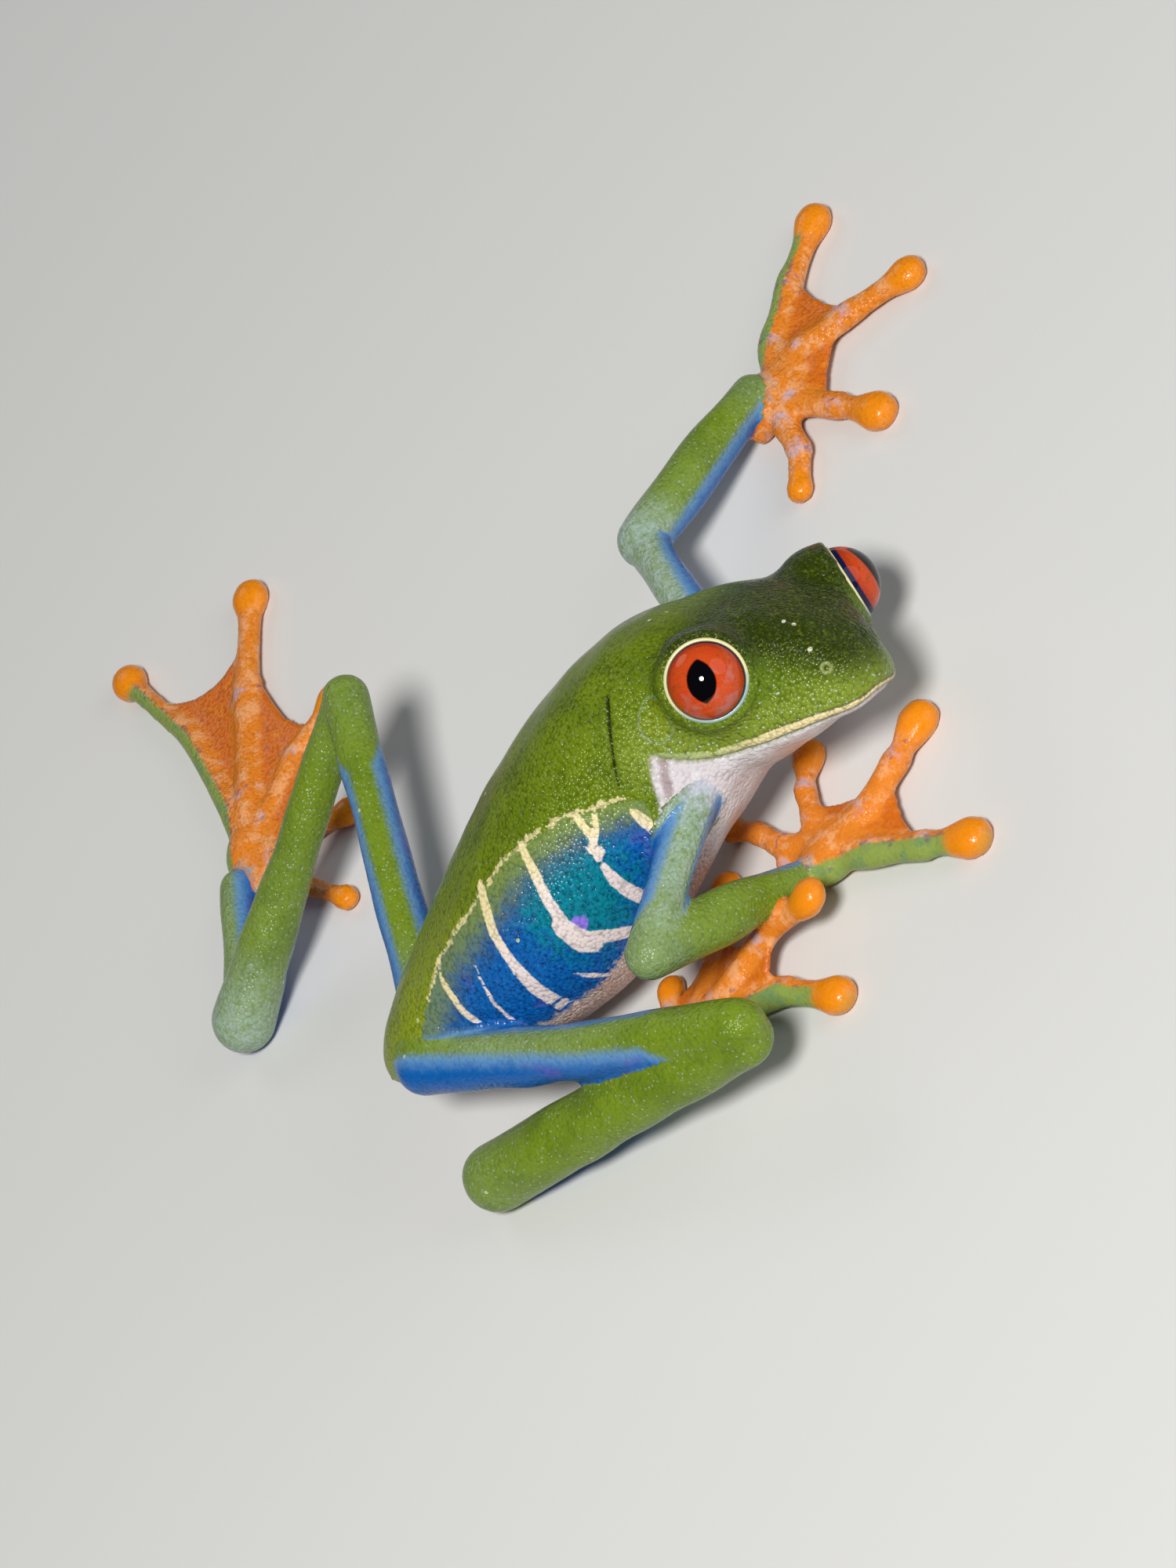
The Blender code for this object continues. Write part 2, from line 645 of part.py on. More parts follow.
def spread(name, digits, palm, palm_size, reaches, heading, extra):
    """A hand or foot: palm, digits with flattened discs, and webs, flat underneath."""
    turn = Matrix.Rotation(heading, 3, "Z")
    pieces = [ball("palm", palm, palm_size, turn, 14, 8)] + extra
    for points, thick, disc in digits:
        start = Vector(palm).lerp(Vector(points[0]), DIGIT_ROOT)
        pieces.append(digit("digit", [start] + list(points), thick, disc))
    pieces += webs(palm, digits, reaches)
    made = fuse(name, pieces)
    return boolean(made, [below_floor()], "DIFFERENCE")


def build_limbs(side, bodies):
    """All segments of one side; each later node gives way to the one before it by the gap."""
    shapes = limb_pieces(side)

    def grown(name):
        points, radii = shapes[name]
        return limb(name + "_cut", points, radii, GAP)

    nodes = {}
    for name in ("upper_arm", "thigh"):
        points, radii = shapes[name]
        nodes[name] = limb(name, points, radii)
    for part in bodies:
        bodies[part] = boolean(bodies[part], [grown("upper_arm")], "DIFFERENCE")
    bodies["torso"] = boolean(bodies["torso"], [grown("thigh")], "DIFFERENCE")
    nodes["forearm"] = boolean(limb("forearm", *shapes["forearm"]), [grown("upper_arm")], "DIFFERENCE")
    nodes["shank"] = boolean(limb("shank", *shapes["shank"]), [grown("thigh"), below_floor()], "DIFFERENCE")
    tarsus = limb("tarsus", *shapes["tarsus"])
    nodes["tarsus"] = boolean(tarsus, [grown("shank"), below_floor()], "DIFFERENCE")
    palm_at = Vector(PALM[side])
    way = palm_at - Vector(WRIST[side])
    heading = math.atan2(way.y, way.x)
    pad = [ball("thumb_pad", THUMB_PAD[side], THUMB_PAD_SIZE, None, 12, 8)]
    hand = spread("hand", FINGERS[side], palm_at, PALM_SIZE, FINGER_WEB_REACH, heading, pad)
    nodes["hand"] = boolean(hand, [grown("forearm")], "DIFFERENCE")
    sole_at = Vector(SOLE[side])
    way = sole_at - Vector(ANKLE[side])
    heading = math.atan2(way.y, way.x)
    foot = spread("foot", TOES[side], sole_at, SOLE_SIZE, TOE_WEB_REACH[side], heading, [])
    nodes["foot"] = boolean(foot, [grown("tarsus"), grown("forearm")], "DIFFERENCE")
    return nodes


clear_scene()
FROG = new_collection("red_eyed_tree_frog")
WORK = new_collection("cutters")
WORK.hide_render = True

# Head and torso from one body
trunk = build_trunk()
head_form = build_head_form()
sockets = []
for side in (1.0, -1.0):
    centre, axis = eye_frame(side)
    bump = ball("lid_bump", centre - axis * LID_BACK, [LID_OUTER] * 3, eye_turn(axis), 20, 12)
    plane = slab("lid_plane", centre + axis * (LID_DEPTH + GAP / 2.0), axis, 1.0)
    sockets.append(boolean(bump, [plane], "DIFFERENCE"))
body = fuse("body", [trunk, head_form] + sockets)
torso = body.copy()
torso.data = body.data.copy()
WORK.objects.link(torso)
torso = boolean(torso, [slab("before_neck", NECK_POINT, NECK_NORMAL.normalized(), 1.0)], "DIFFERENCE")
bodies = {"head": build_head(body), "torso": torso}

# Arms, legs, hands and feet
skins = {
    "upper_arm": (ARM_BLUE, 0.45),
    "forearm": (LIMB_GREEN, 0.45),
    "thigh": (LIMB_GREEN, 0.45),
    "shank": (LIMB_GREEN, 0.45),
    "tarsus": (LIMB_GREEN, 0.45),
    "hand": (DIGIT_ORANGE, 0.35),
    "foot": (DIGIT_ORANGE, 0.35),
}
for side in ("right", "left"):
    for part, item in build_limbs(side, bodies).items():
        finish(item, part + "_" + side, *skins[part])

# Head, torso and eyes
finish(bodies["head"], "head", SKIN_GREEN, 0.4)
finish(bodies["torso"], "torso", SKIN_GREEN, 0.45)
for side, word in ((1.0, "right"), (-1.0, "left")):
    centre, axis = eye_frame(side)
    eye = ball("eye", centre, [EYE_BALL] * 3, eye_turn(axis), 18, 12)
    finish(eye, "eye_" + word, IRIS_RED, 0.1)
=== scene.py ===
"""Red-eyed tree frog, life size, crouched on a plain studio floor.

Shapes are worked out in millimetres on the floor frame and put into the meshes in metres.
"""
import logging
import math
from dataclasses import dataclass
from enum import Enum
from typing import ClassVar

import bmesh
import bpy
import numpy as np
from mathutils import Matrix


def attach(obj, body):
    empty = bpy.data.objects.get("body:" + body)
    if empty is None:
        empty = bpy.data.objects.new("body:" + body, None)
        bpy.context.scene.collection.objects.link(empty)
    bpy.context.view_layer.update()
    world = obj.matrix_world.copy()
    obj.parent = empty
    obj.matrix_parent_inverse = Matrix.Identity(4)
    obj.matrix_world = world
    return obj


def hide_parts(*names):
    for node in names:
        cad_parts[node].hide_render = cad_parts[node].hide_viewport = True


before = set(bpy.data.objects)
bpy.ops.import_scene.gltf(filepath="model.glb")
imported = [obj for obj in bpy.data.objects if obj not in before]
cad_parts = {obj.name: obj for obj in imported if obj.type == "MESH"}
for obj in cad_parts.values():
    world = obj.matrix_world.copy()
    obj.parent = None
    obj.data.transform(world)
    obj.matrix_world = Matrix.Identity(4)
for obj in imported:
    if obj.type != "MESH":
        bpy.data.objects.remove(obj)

LOG = logging.getLogger("tree_frog")
Array = np.ndarray
MM = 0.001
SHIFT = np.array((-14.8, 3.2, 0.0))
UP = np.array((0.0, 0.0, 1.0))
FAR = 1e9


class Side(Enum):
    """The frog's own right and left."""

    RIGHT = 1.0
    LEFT = -1.0

    @property
    def word(self) -> str:
        """The side's name as the frame's nodes use it."""
        return self.name.lower()


class Knots(Enum):
    """How a cubic line treats its knots: pulled towards them, or through each one."""

    SMOOTH = ((1, 4, 1, 0), (-3, 0, 3, 0), (3, -6, 3, 0), (-1, 3, -3, 1))
    THROUGH = ((0, 6, 0, 0), (-3, 0, 3, 0), (6, -15, 12, -3), (-3, 9, -9, 3))


def unit(vectors: Array) -> Array:
    """Scales vectors to length one."""
    return vectors / np.maximum(np.linalg.norm(vectors, axis=-1, keepdims=True), 1e-12)


def rise(values: Array, low: float, high: float) -> Array:
    """A smooth step from 0 at low to 1 at high, 3t^2 - 2t^3."""
    t = np.clip((values - low) / (high - low), 0.0, 1.0)
    return t * t * (3.0 - 2.0 * t)


def bell(values: Array, width: float) -> Array:
    """A round hump, exp(-(v / width)^2)."""
    return np.exp(-((values / width) ** 2))


def fall(values: Array, low: float, high: float) -> Array:
    """A smooth step from 1 at low to 0 at high."""
    return 1.0 - rise(values, low, high)


def distance(points: Array, place: tuple | Array) -> Array:
    """How far each point is from a place."""
    return np.linalg.norm(points - np.array(place), axis=1)


def lengths_along(knots: Array) -> Array:
    """Distance of each knot from the first one, along a bent line."""
    return np.concatenate([[0.0], np.cumsum(np.linalg.norm(np.diff(knots, axis=0), axis=1))])


def cubic_weights(count: int, samples: int, kind: Knots, closed: bool = False) -> Array:
    """Weights of the knots of a uniform cubic line, sixths of a matrix times (1, t, t^2, t^3).

    Args:
        count: Number of knots.
        samples: Number of places along the line.
        kind: How the line treats its knots.
        closed: Whether the line runs round into its start.
    Returns:
        One row of weights for each place.
    """
    span = count if closed else count - 1
    place = np.arange(samples) * span / (samples if closed else samples - 1)
    first = np.minimum(place.astype(int), span - 1)
    t = (place - first)[:, None]
    near = np.hstack([t**0, t, t**2, t**3]) @ (np.array(kind.value) / 6.0)
    rows = np.arange(samples)[:, None]
    columns = first[:, None] + np.arange(4)
    if closed:
        weights = np.zeros((samples, count))
        np.add.at(weights, (rows, (columns - 1) % count), near)
        return weights
    wide = np.zeros((samples, count + 2))
    np.add.at(wide, (rows, columns), near)
    wide[:, 1] += 2.0 * wide[:, 0]
    wide[:, 2] -= wide[:, 0]
    wide[:, -2] += 2.0 * wide[:, -1]
    wide[:, -3] -= wide[:, -1]
    return wide[:, 1:-1]


@dataclass
class Form:
    """A closed surface: points in millimetres and faces as lists of point numbers."""

    points: Array
    faces: list

    @staticmethod
    def joined(forms: list["Form"]) -> "Form":
        """All the forms in one, each still closed by itself.

        Args:
            forms: The forms.
        Returns:
            One form.
        """
        starts = np.cumsum([0] + [len(form.points) for form in forms])
        faces = [[int(start) + k for k in face] for form, start in zip(forms, starts) for face in form.faces]
        return Form(np.vstack([form.points for form in forms]), faces)

    def mesh(self, name: str) -> bpy.types.Mesh:
        """The form as a Blender mesh in metres.

        Args:
            name: The mesh's name.
        Returns:
            The mesh.
        """
        made = bpy.data.meshes.new(name)
        made.from_pydata(((self.points + SHIFT) * MM).tolist(), [], self.faces)
        made.validate()
        return made


def closed_grid(rings: Array, first: Array, last: Array) -> Form:
    """Closes a stack of rings with a pole at each end.

    Args:
        rings: Points, (rings, places round, 3).
        first: Pole before the first ring.
        last: Pole after the last ring.
    Returns:
        The closed form, turned so that its faces look outwards.
    """
    rows, around = rings.shape[:2]
    points = np.vstack([rings.reshape(-1, 3), first[None], last[None]])
    j = np.arange(around)
    nxt = (j + 1) % around
    start = (np.arange(rows - 1) * around)[:, None]
    quads = np.stack([start + j, start + around + j, start + around + nxt, start + nxt], -1).reshape(-1, 4)
    low = np.stack([np.full(around, rows * around), j, nxt], -1)
    top = (rows - 1) * around
    high = np.stack([np.full(around, rows * around + 1), top + nxt, top + j], -1)
    middle = points.mean(0)
    a, b, c = (points[quads[:, k]] - middle for k in (0, 1, 2))
    volume = float(np.einsum("ij,ij->", a, np.cross(b, c)))
    if volume < 0.0:
        quads, low, high = quads[:, ::-1], low[:, ::-1], high[:, ::-1]
    return Form(points, quads.tolist() + low.tolist() + high.tolist())


def with_poles(net: Array, first: Array, last: Array) -> Array:
    """A net of knots with a row that is all one pole before it and another after it."""
    size = (1, net.shape[1], 1)
    return np.concatenate([np.tile(first, size), net, np.tile(last, size)])


def loft(net: Array, along: int, around: int) -> Form:
    """A smooth skin over a net of knots: weights along @ net @ weights round, with a pole at each end.

    Args:
        net: Knots, (rows, columns round, 3); the first and last rows are poles.
        along: Rings of the result.
        around: Places on each ring.
    Returns:
        The closed form.
    """
    lengthwise = cubic_weights(len(net), along + 2, Knots.SMOOTH)
    round_it = cubic_weights(net.shape[1], around, Knots.SMOOTH, closed=True)
    skin = np.einsum("ai,ijk,bj->abk", lengthwise, net, round_it)
    return closed_grid(skin[1:-1], skin[0].mean(0), skin[-1].mean(0))


def bar(knots: Array, wide: Array, high: Array, along: int = 40, around: int = 24, caps: int = 6) -> Form:
    """A bar with round ends: path + side * wide * cos(a) + lift * high * sin(a).

    Args:
        knots: Points that the middle line passes through.
        wide: Half thickness level with the floor at each knot.
        high: Half thickness upwards at each knot.
        along: Rings between the ends.
        around: Places on each ring.
        caps: Rings of each rounded end.
    Returns:
        The closed form.
    """
    weights = cubic_weights(len(knots), along, Knots.THROUGH)
    path = weights @ knots
    half = np.stack([weights @ wide, weights @ high], -1)
    ahead = unit(np.gradient(path, axis=0))
    turn = (np.arange(1, caps + 1) / (caps + 1)) * math.pi / 2.0
    reach = np.cos(turn)[:, None]
    start = path[0] - ahead[0] * half[0].min() * reach
    end = path[-1] + ahead[-1] * half[-1].min() * reach[::-1]
    path_all = np.vstack([start, path, end])
    ahead_all = np.vstack([np.tile(ahead[0], (caps, 1)), ahead, np.tile(ahead[-1], (caps, 1))])
    size = np.vstack([np.sin(turn)[:, None] * half[0], half, np.sin(turn)[::-1, None] * half[-1]])
    side = unit(np.cross(ahead_all, UP))
    lift = np.cross(side, ahead_all)
    a = 2.0 * math.pi * np.arange(around) / around
    across = side[:, None] * size[:, :1, None] * np.cos(a)[:, None]
    upward = lift[:, None] * size[:, 1:, None] * np.sin(a)[:, None]
    rings = path_all[:, None] + across + upward
    return closed_grid(rings, path[0] - ahead[0] * half[0].min(), path[-1] + ahead[-1] * half[-1].min())


def frame_about(axis: Array, upright: Array) -> Array:
    """Rows across, upright and axis of a square frame about an axis.

    Args:
        axis: Where the frame's last row looks.
        upright: What its middle row leans to.
    Returns:
        The three rows.
    """
    axis = unit(axis)
    level = unit(upright - axis * (upright @ axis))
    return np.stack([np.cross(level, axis), level, axis])


def dome(centre: Array, radii: Array, turn: Array, start: float = 0.0, rows: int = 24, around: int = 36) -> Form:
    """An egg: centre + radii * (sin p cos a, sin p sin a, cos p), cut flat where p is under start.

    Args:
        centre: Middle of the egg.
        radii: Three half sizes along the rows of turn.
        turn: Rows of the egg's own frame; the last is its axis.
        start: Polar angle in radians of a flat end about the axis.
        rows: Rings.
        around: Places on each ring.
    Returns:
        The closed form.
    """
    p = np.linspace(max(start, math.pi / (rows + 1)), math.pi * rows / (rows + 1), rows)[:, None]
    a = 2.0 * math.pi * np.arange(around) / around
    local = np.stack([np.sin(p) * np.cos(a), np.sin(p) * np.sin(a), np.cos(p) + 0.0 * a], -1) * radii
    top = np.array((0.0, 0.0, math.cos(start) if start else 1.0)) * radii
    bottom = np.array((0.0, 0.0, -1.0)) * radii
    return closed_grid(centre + local @ turn, centre + top @ turn, centre + bottom @ turn)


def torus(centre: Array, turn: Array, radius: float, thick: float, around: int = 96, section: int = 14) -> Form:
    """A ring: out * (radius + thick cos b) + axis * thick sin b, as a grid that closes both ways.

    Args:
        centre: Middle of the ring.
        turn: Rows of the ring's own frame; the last is its axis.
        radius: Radius of the ring's middle line.
        thick: Half thickness.
        around: Places round the ring.
        section: Places round its section.
    Returns:
        The closed form.
    """
    a = 2.0 * math.pi * np.arange(around)[:, None] / around
    b = 2.0 * math.pi * np.arange(section) / section
    reach = radius + thick * np.cos(b)
    local = np.stack([reach * np.cos(a), reach * np.sin(a), thick * np.sin(b) + 0.0 * a], -1)
    i = np.arange(around)[:, None]
    j = np.arange(section)
    k, m = (i + 1) % around, (j + 1) % section
    faces = np.stack([i * section + j, k * section + j, k * section + m, i * section + m], -1)
    return Form(centre + local.reshape(-1, 3) @ turn, faces.reshape(-1, 4).tolist())


def segment_place(points: Array, start: Array, end: Array) -> tuple[Array, Array]:
    """Where each point falls beside a straight length.

    Args:
        points: Points, (n, 3).
        start: One end of the length.
        end: Its other end.
    Returns:
        Share of the way along, 0 to 1, and the offset from the nearest place on it.
    """
    way = end - start
    share = np.clip((points - start) @ way / (way @ way), 0.0, 1.0)
    return share, points - start - share[:, None] * way


def line_place(points: Array, knots: Array, sizes: Array) -> tuple[Array, Array, Array, Array]:
    """Where each point falls beside a bent line, the nearest of its straight lengths.

    Args:
        points: Points, (n, 3).
        knots: The line's knots.
        sizes: A half thickness at each knot.
    Returns:
        Share of the whole length, offset from the line, direction of the line there, and the
        distance outside the thickness.
    """
    lengths = np.linalg.norm(np.diff(knots, axis=0), axis=1)
    starts = np.concatenate([[0.0], np.cumsum(lengths)]) / lengths.sum()
    share = np.zeros(len(points))
    offset = np.zeros_like(points)
    ahead = np.zeros_like(points)
    gap = np.full(len(points), FAR)
    for k in range(len(knots) - 1):
        part, out = segment_place(points, knots[k], knots[k + 1])
        over = np.linalg.norm(out, axis=1) - (sizes[k] + (sizes[k + 1] - sizes[k]) * part)
        near = over < gap
        gap = np.where(near, over, gap)
        share = np.where(near, starts[k] + (starts[k + 1] - starts[k]) * part, share)
        offset = np.where(near[:, None], out, offset)
        ahead = np.where(near[:, None], unit(knots[k + 1] - knots[k]), ahead)
    return share, offset, ahead, gap


def beside(points: Array, normals: Array, knots: Array) -> tuple[Array, Array]:
    """Share along a bent line on the skin, and the distance from it measured within the skin.

    Args:
        points: Points, (n, 3).
        normals: The skin's outward directions there.
        knots: The line's knots.
    Returns:
        The share and the distance for each point.
    """
    share, offset, _, gap = line_place(points, knots, np.zeros(len(knots)))
    level = offset - normals * (offset * normals).sum(1)[:, None]
    return share, np.linalg.norm(level, axis=1) + 9.0 * rise(gap, 1.2, 1.8)


def ripple(points: Array, pitch: float) -> Array:
    """Slow unevenness of about -1 to 1, a mean of six sine waves that run different ways.

    Args:
        points: Points, (n, 3).
        pitch: Length of the waves.
    Returns:
        One height for each point.
    """
    turn = np.arange(6)[:, None] * (2.4, 1.7, 0.9) + (0.3, 1.1, 2.0)
    ways = unit(np.sin(turn)) * 2.0 * math.pi / pitch
    return np.sin(points @ ways.T + turn.sum(1)).mean(1) * 1.8


@dataclass(frozen=True)
class Trunk:
    """The trunk: sections from the rump forwards, and the markings on its flanks.

    Each row holds a section's middle, half width, half height and roll in degrees. A marking's knots are
    millimetres along the trunk's line and degrees from the spine; a bar's knots have a half width too.
    """

    rows: tuple = (
        (-5.8, 24.6, 8.3, 1.6, 1.5, 22.0),
        (-5.6, 22.6, 8.4, 3.4, 2.8, 22.0),
        (-5.7, 19.6, 8.5, 5.0, 4.1, 23.0),
        (-5.9, 15.3, 8.6, 6.7, 5.8, 23.5),
        (-6.6, 10.6, 8.8, 8.1, 7.6, 24.0),
        (-6.8, 6.0, 9.5, 8.7, 8.4, 24.5),
        (-6.4, 0.5, 10.8, 8.8, 8.6, 27.5),
        (-5.8, -4.8, 11.7, 8.7, 8.3, 31.0),
        (-5.7, -9.9, 11.7, 8.3, 8.0, 34.0),
        (-6.8, -13.4, 11.5, 7.2, 7.0, 37.0),
        (-8.3, -15.6, 11.3, 5.0, 4.8, 38.0),
    )
    columns: int = 20
    squareness: float = 2.25
    pole_reach: float = 0.3
    flank_top: tuple = (
        (0.0, 96.0), (2.0, 82.0), (6.2, 56.0), (10.2, 42.0), (13.7, 42.0), (18.0, 42.5), (20.2, 44.0), (22.0, 50.0),
        (24.4, 59.0), (25.5, 68.0), (27.0, 77.0), (28.3, 87.0), (28.9, 93.0), (29.4, 96.0), (30.0, 101.0),
        (30.6, 112.0), (45.0, 120.0),
    )
    belly_top: tuple = (
        (0.0, 104.0), (8.0, 118.0), (12.0, 117.0), (16.0, 122.0), (19.0, 122.0), (24.0, 122.0), (27.0, 116.0),
        (28.2, 110.0), (29.1, 105.0), (29.9, 100.0), (30.4, 95.0), (30.8, 88.0), (31.8, 85.0), (45.0, 84.0),
    )
    bars: tuple = (
        ((10.2, 42.0, 0.22), (8.9, 54.0, 0.26), (8.3, 78.0, 0.25), (8.6, 118.0, 0.20)),
        ((12.4, 62.0, 0.08), (11.8, 72.0, 0.13), (11.2, 87.0, 0.17), (11.0, 117.0, 0.13)),
        ((17.4, 39.0, 0.30), (16.7, 47.0, 0.42), (15.4, 61.0, 0.38), (14.5, 78.0, 0.36), (14.1, 95.0, 0.30),
         (14.1, 108.0, 0.17)), ((14.1, 113.0, 0.20), (14.1, 115.0, 0.22)), ((14.3, 120.0, 0.14), (14.3, 122.0, 0.16)),
        ((22.4, 47.0, 0.10), (22.0, 51.0, 0.26), (21.1, 61.0, 0.36), (19.7, 74.0, 0.40), (18.7, 86.0, 0.42),
         (18.5, 98.0, 0.48), (19.4, 109.0, 0.50), (20.6, 122.0, 0.38), (21.4, 134.0, 0.3)),
        ((25.4, 68.5, 0.30), (25.0, 75.0, 0.26), (24.5, 81.0, 0.22)),
        ((26.2, 75.5, 0.22), (25.4, 79.0, 0.22), (24.5, 81.0, 0.22)),
        ((24.3, 85.0, 0.24), (24.2, 86.5, 0.22)),
        ((23.9, 90.0, 0.26), (23.3, 98.0, 0.46), (23.0, 108.0, 0.52), (22.9, 122.0, 0.50), (23.2, 134.0, 0.3)),
        ((27.8, 91.0, 0.26), (27.6, 97.0, 0.40), (27.4, 106.0, 0.46), (26.9, 121.0, 0.34)),
        ((16.4, 106.0, 0.06), (16.9, 114.0, 0.20), (17.5, 123.0, 0.10)),
    )
    border: tuple = (
        (7.0, 53.0), (10.2, 42.0), (11.9, 42.5), (13.7, 41.5), (15.3, 43.0), (17.4, 42.0), (18.3, 43.0), (20.2, 44.0),
        (22.0, 50.0), (24.0, 55.0), (24.4, 59.0), (25.5, 66.0), (27.0, 76.0), (28.3, 84.0),
    )
    border_half: float = 0.11
    spot: tuple = (19.3, 92.0)

    def frames(self) -> tuple[Array, Array, Array]:
        """Middle, right and dorsal direction of each section, rolled about the trunk's line.

        Returns:
            Three arrays, (sections, 3).
        """
        rows = np.array(self.rows)
        middle = rows[:, :3]
        ahead = unit(np.vstack([middle[1:], middle[-1:]]) - np.vstack([middle[:1], middle[:-1]]))
        level = unit(np.cross(ahead, UP))
        lift = np.cross(level, ahead)
        roll = np.radians(rows[:, 5])[:, None]
        right = level * np.cos(roll) + lift * np.sin(roll)
        return middle, right, np.cross(right, ahead)

    def form(self) -> Form:
        """Rounded-square sections, middle + right * w * c + dorsal * h * s, under one smooth skin.

        Returns:
            The closed form.
        """
        middle, right, dorsal = self.frames()
        rows = np.array(self.rows)
        a = 2.0 * math.pi * (np.arange(self.columns) + 0.5) / self.columns
        power = 2.0 / self.squareness
        c = np.sign(np.cos(a)) * np.abs(np.cos(a)) ** power
        s = np.sign(np.sin(a)) * np.abs(np.sin(a)) ** power
        across = right[:, None] * (rows[:, 3, None] * c)[..., None]
        upward = dorsal[:, None] * (rows[:, 4, None] * s)[..., None]
        net = middle[:, None] + across + upward
        rear = middle[0] * (1.0 + self.pole_reach) - middle[1] * self.pole_reach
        front = middle[-1] * (1.0 + self.pole_reach) - middle[-2] * self.pole_reach
        return loft(with_poles(net, rear, front), along=110, around=120)

    def coordinates(self, points: Array) -> tuple[Array, Array]:
        """Millimetres from the rump along the trunk's line, and degrees from the spine to the right.

        Args:
            points: Points, (n, 3).
        Returns:
            Distance along and angle for each point.
        """
        middle, right, dorsal = self.frames()
        steps = lengths_along(middle)
        best = np.full(len(points), FAR)
        along = np.zeros(len(points))
        around = np.zeros(len(points))
        for k in range(len(middle) - 1):
            share, out = segment_place(points, middle[k], middle[k + 1])
            far = np.linalg.norm(out, axis=1)
            near = far < best
            best = np.where(near, far, best)
            sideways = right[k] + (right[k + 1] - right[k]) * share[:, None]
            upward = dorsal[k] + (dorsal[k + 1] - dorsal[k]) * share[:, None]
            angle = np.degrees(np.arctan2((out * sideways).sum(1), (out * upward).sum(1)))
            along = np.where(near, steps[k] + (steps[k + 1] - steps[k]) * share, along)
            around = np.where(near, angle, around)
        return along, around

    def radius(self, along: Array) -> Array:
        """Mean half size of the trunk at a distance from the rump.

        Args:
            along: Distances from the rump.
        Returns:
            One radius for each.
        """
        middle, _, _ = self.frames()
        steps = lengths_along(middle)
        rows = np.array(self.rows)
        return np.interp(along, steps, (rows[:, 3] + rows[:, 4]) / 2.0)

    def unrolled(self, along: Array, around: Array) -> Array:
        """Flat map of a flank: distance along, and arc from the spine, both in millimetres."""
        return np.stack([along, np.radians(np.abs(around)) * self.radius(along)], -1)

    def stripe_distance(self, flat: Array, line: Array) -> Array:
        """Millimetres outside a painted line on the flat map, negative inside it.

        Args:
            flat: Flat places, (n, 2).
            line: Knots as distance along, degrees from the spine and half width.
        Returns:
            One distance for each place.
        """
        spots = self.unrolled(line[:, 0], line[:, 1])
        gap = np.full(len(flat), FAR)
        for k in range(len(spots) - 1):
            share, out = segment_place(flat, spots[k], spots[k + 1])
            half = line[k, 2] + (line[k + 1, 2] - line[k, 2]) * share
            gap = np.minimum(gap, np.linalg.norm(out, axis=1) - half)
        return gap


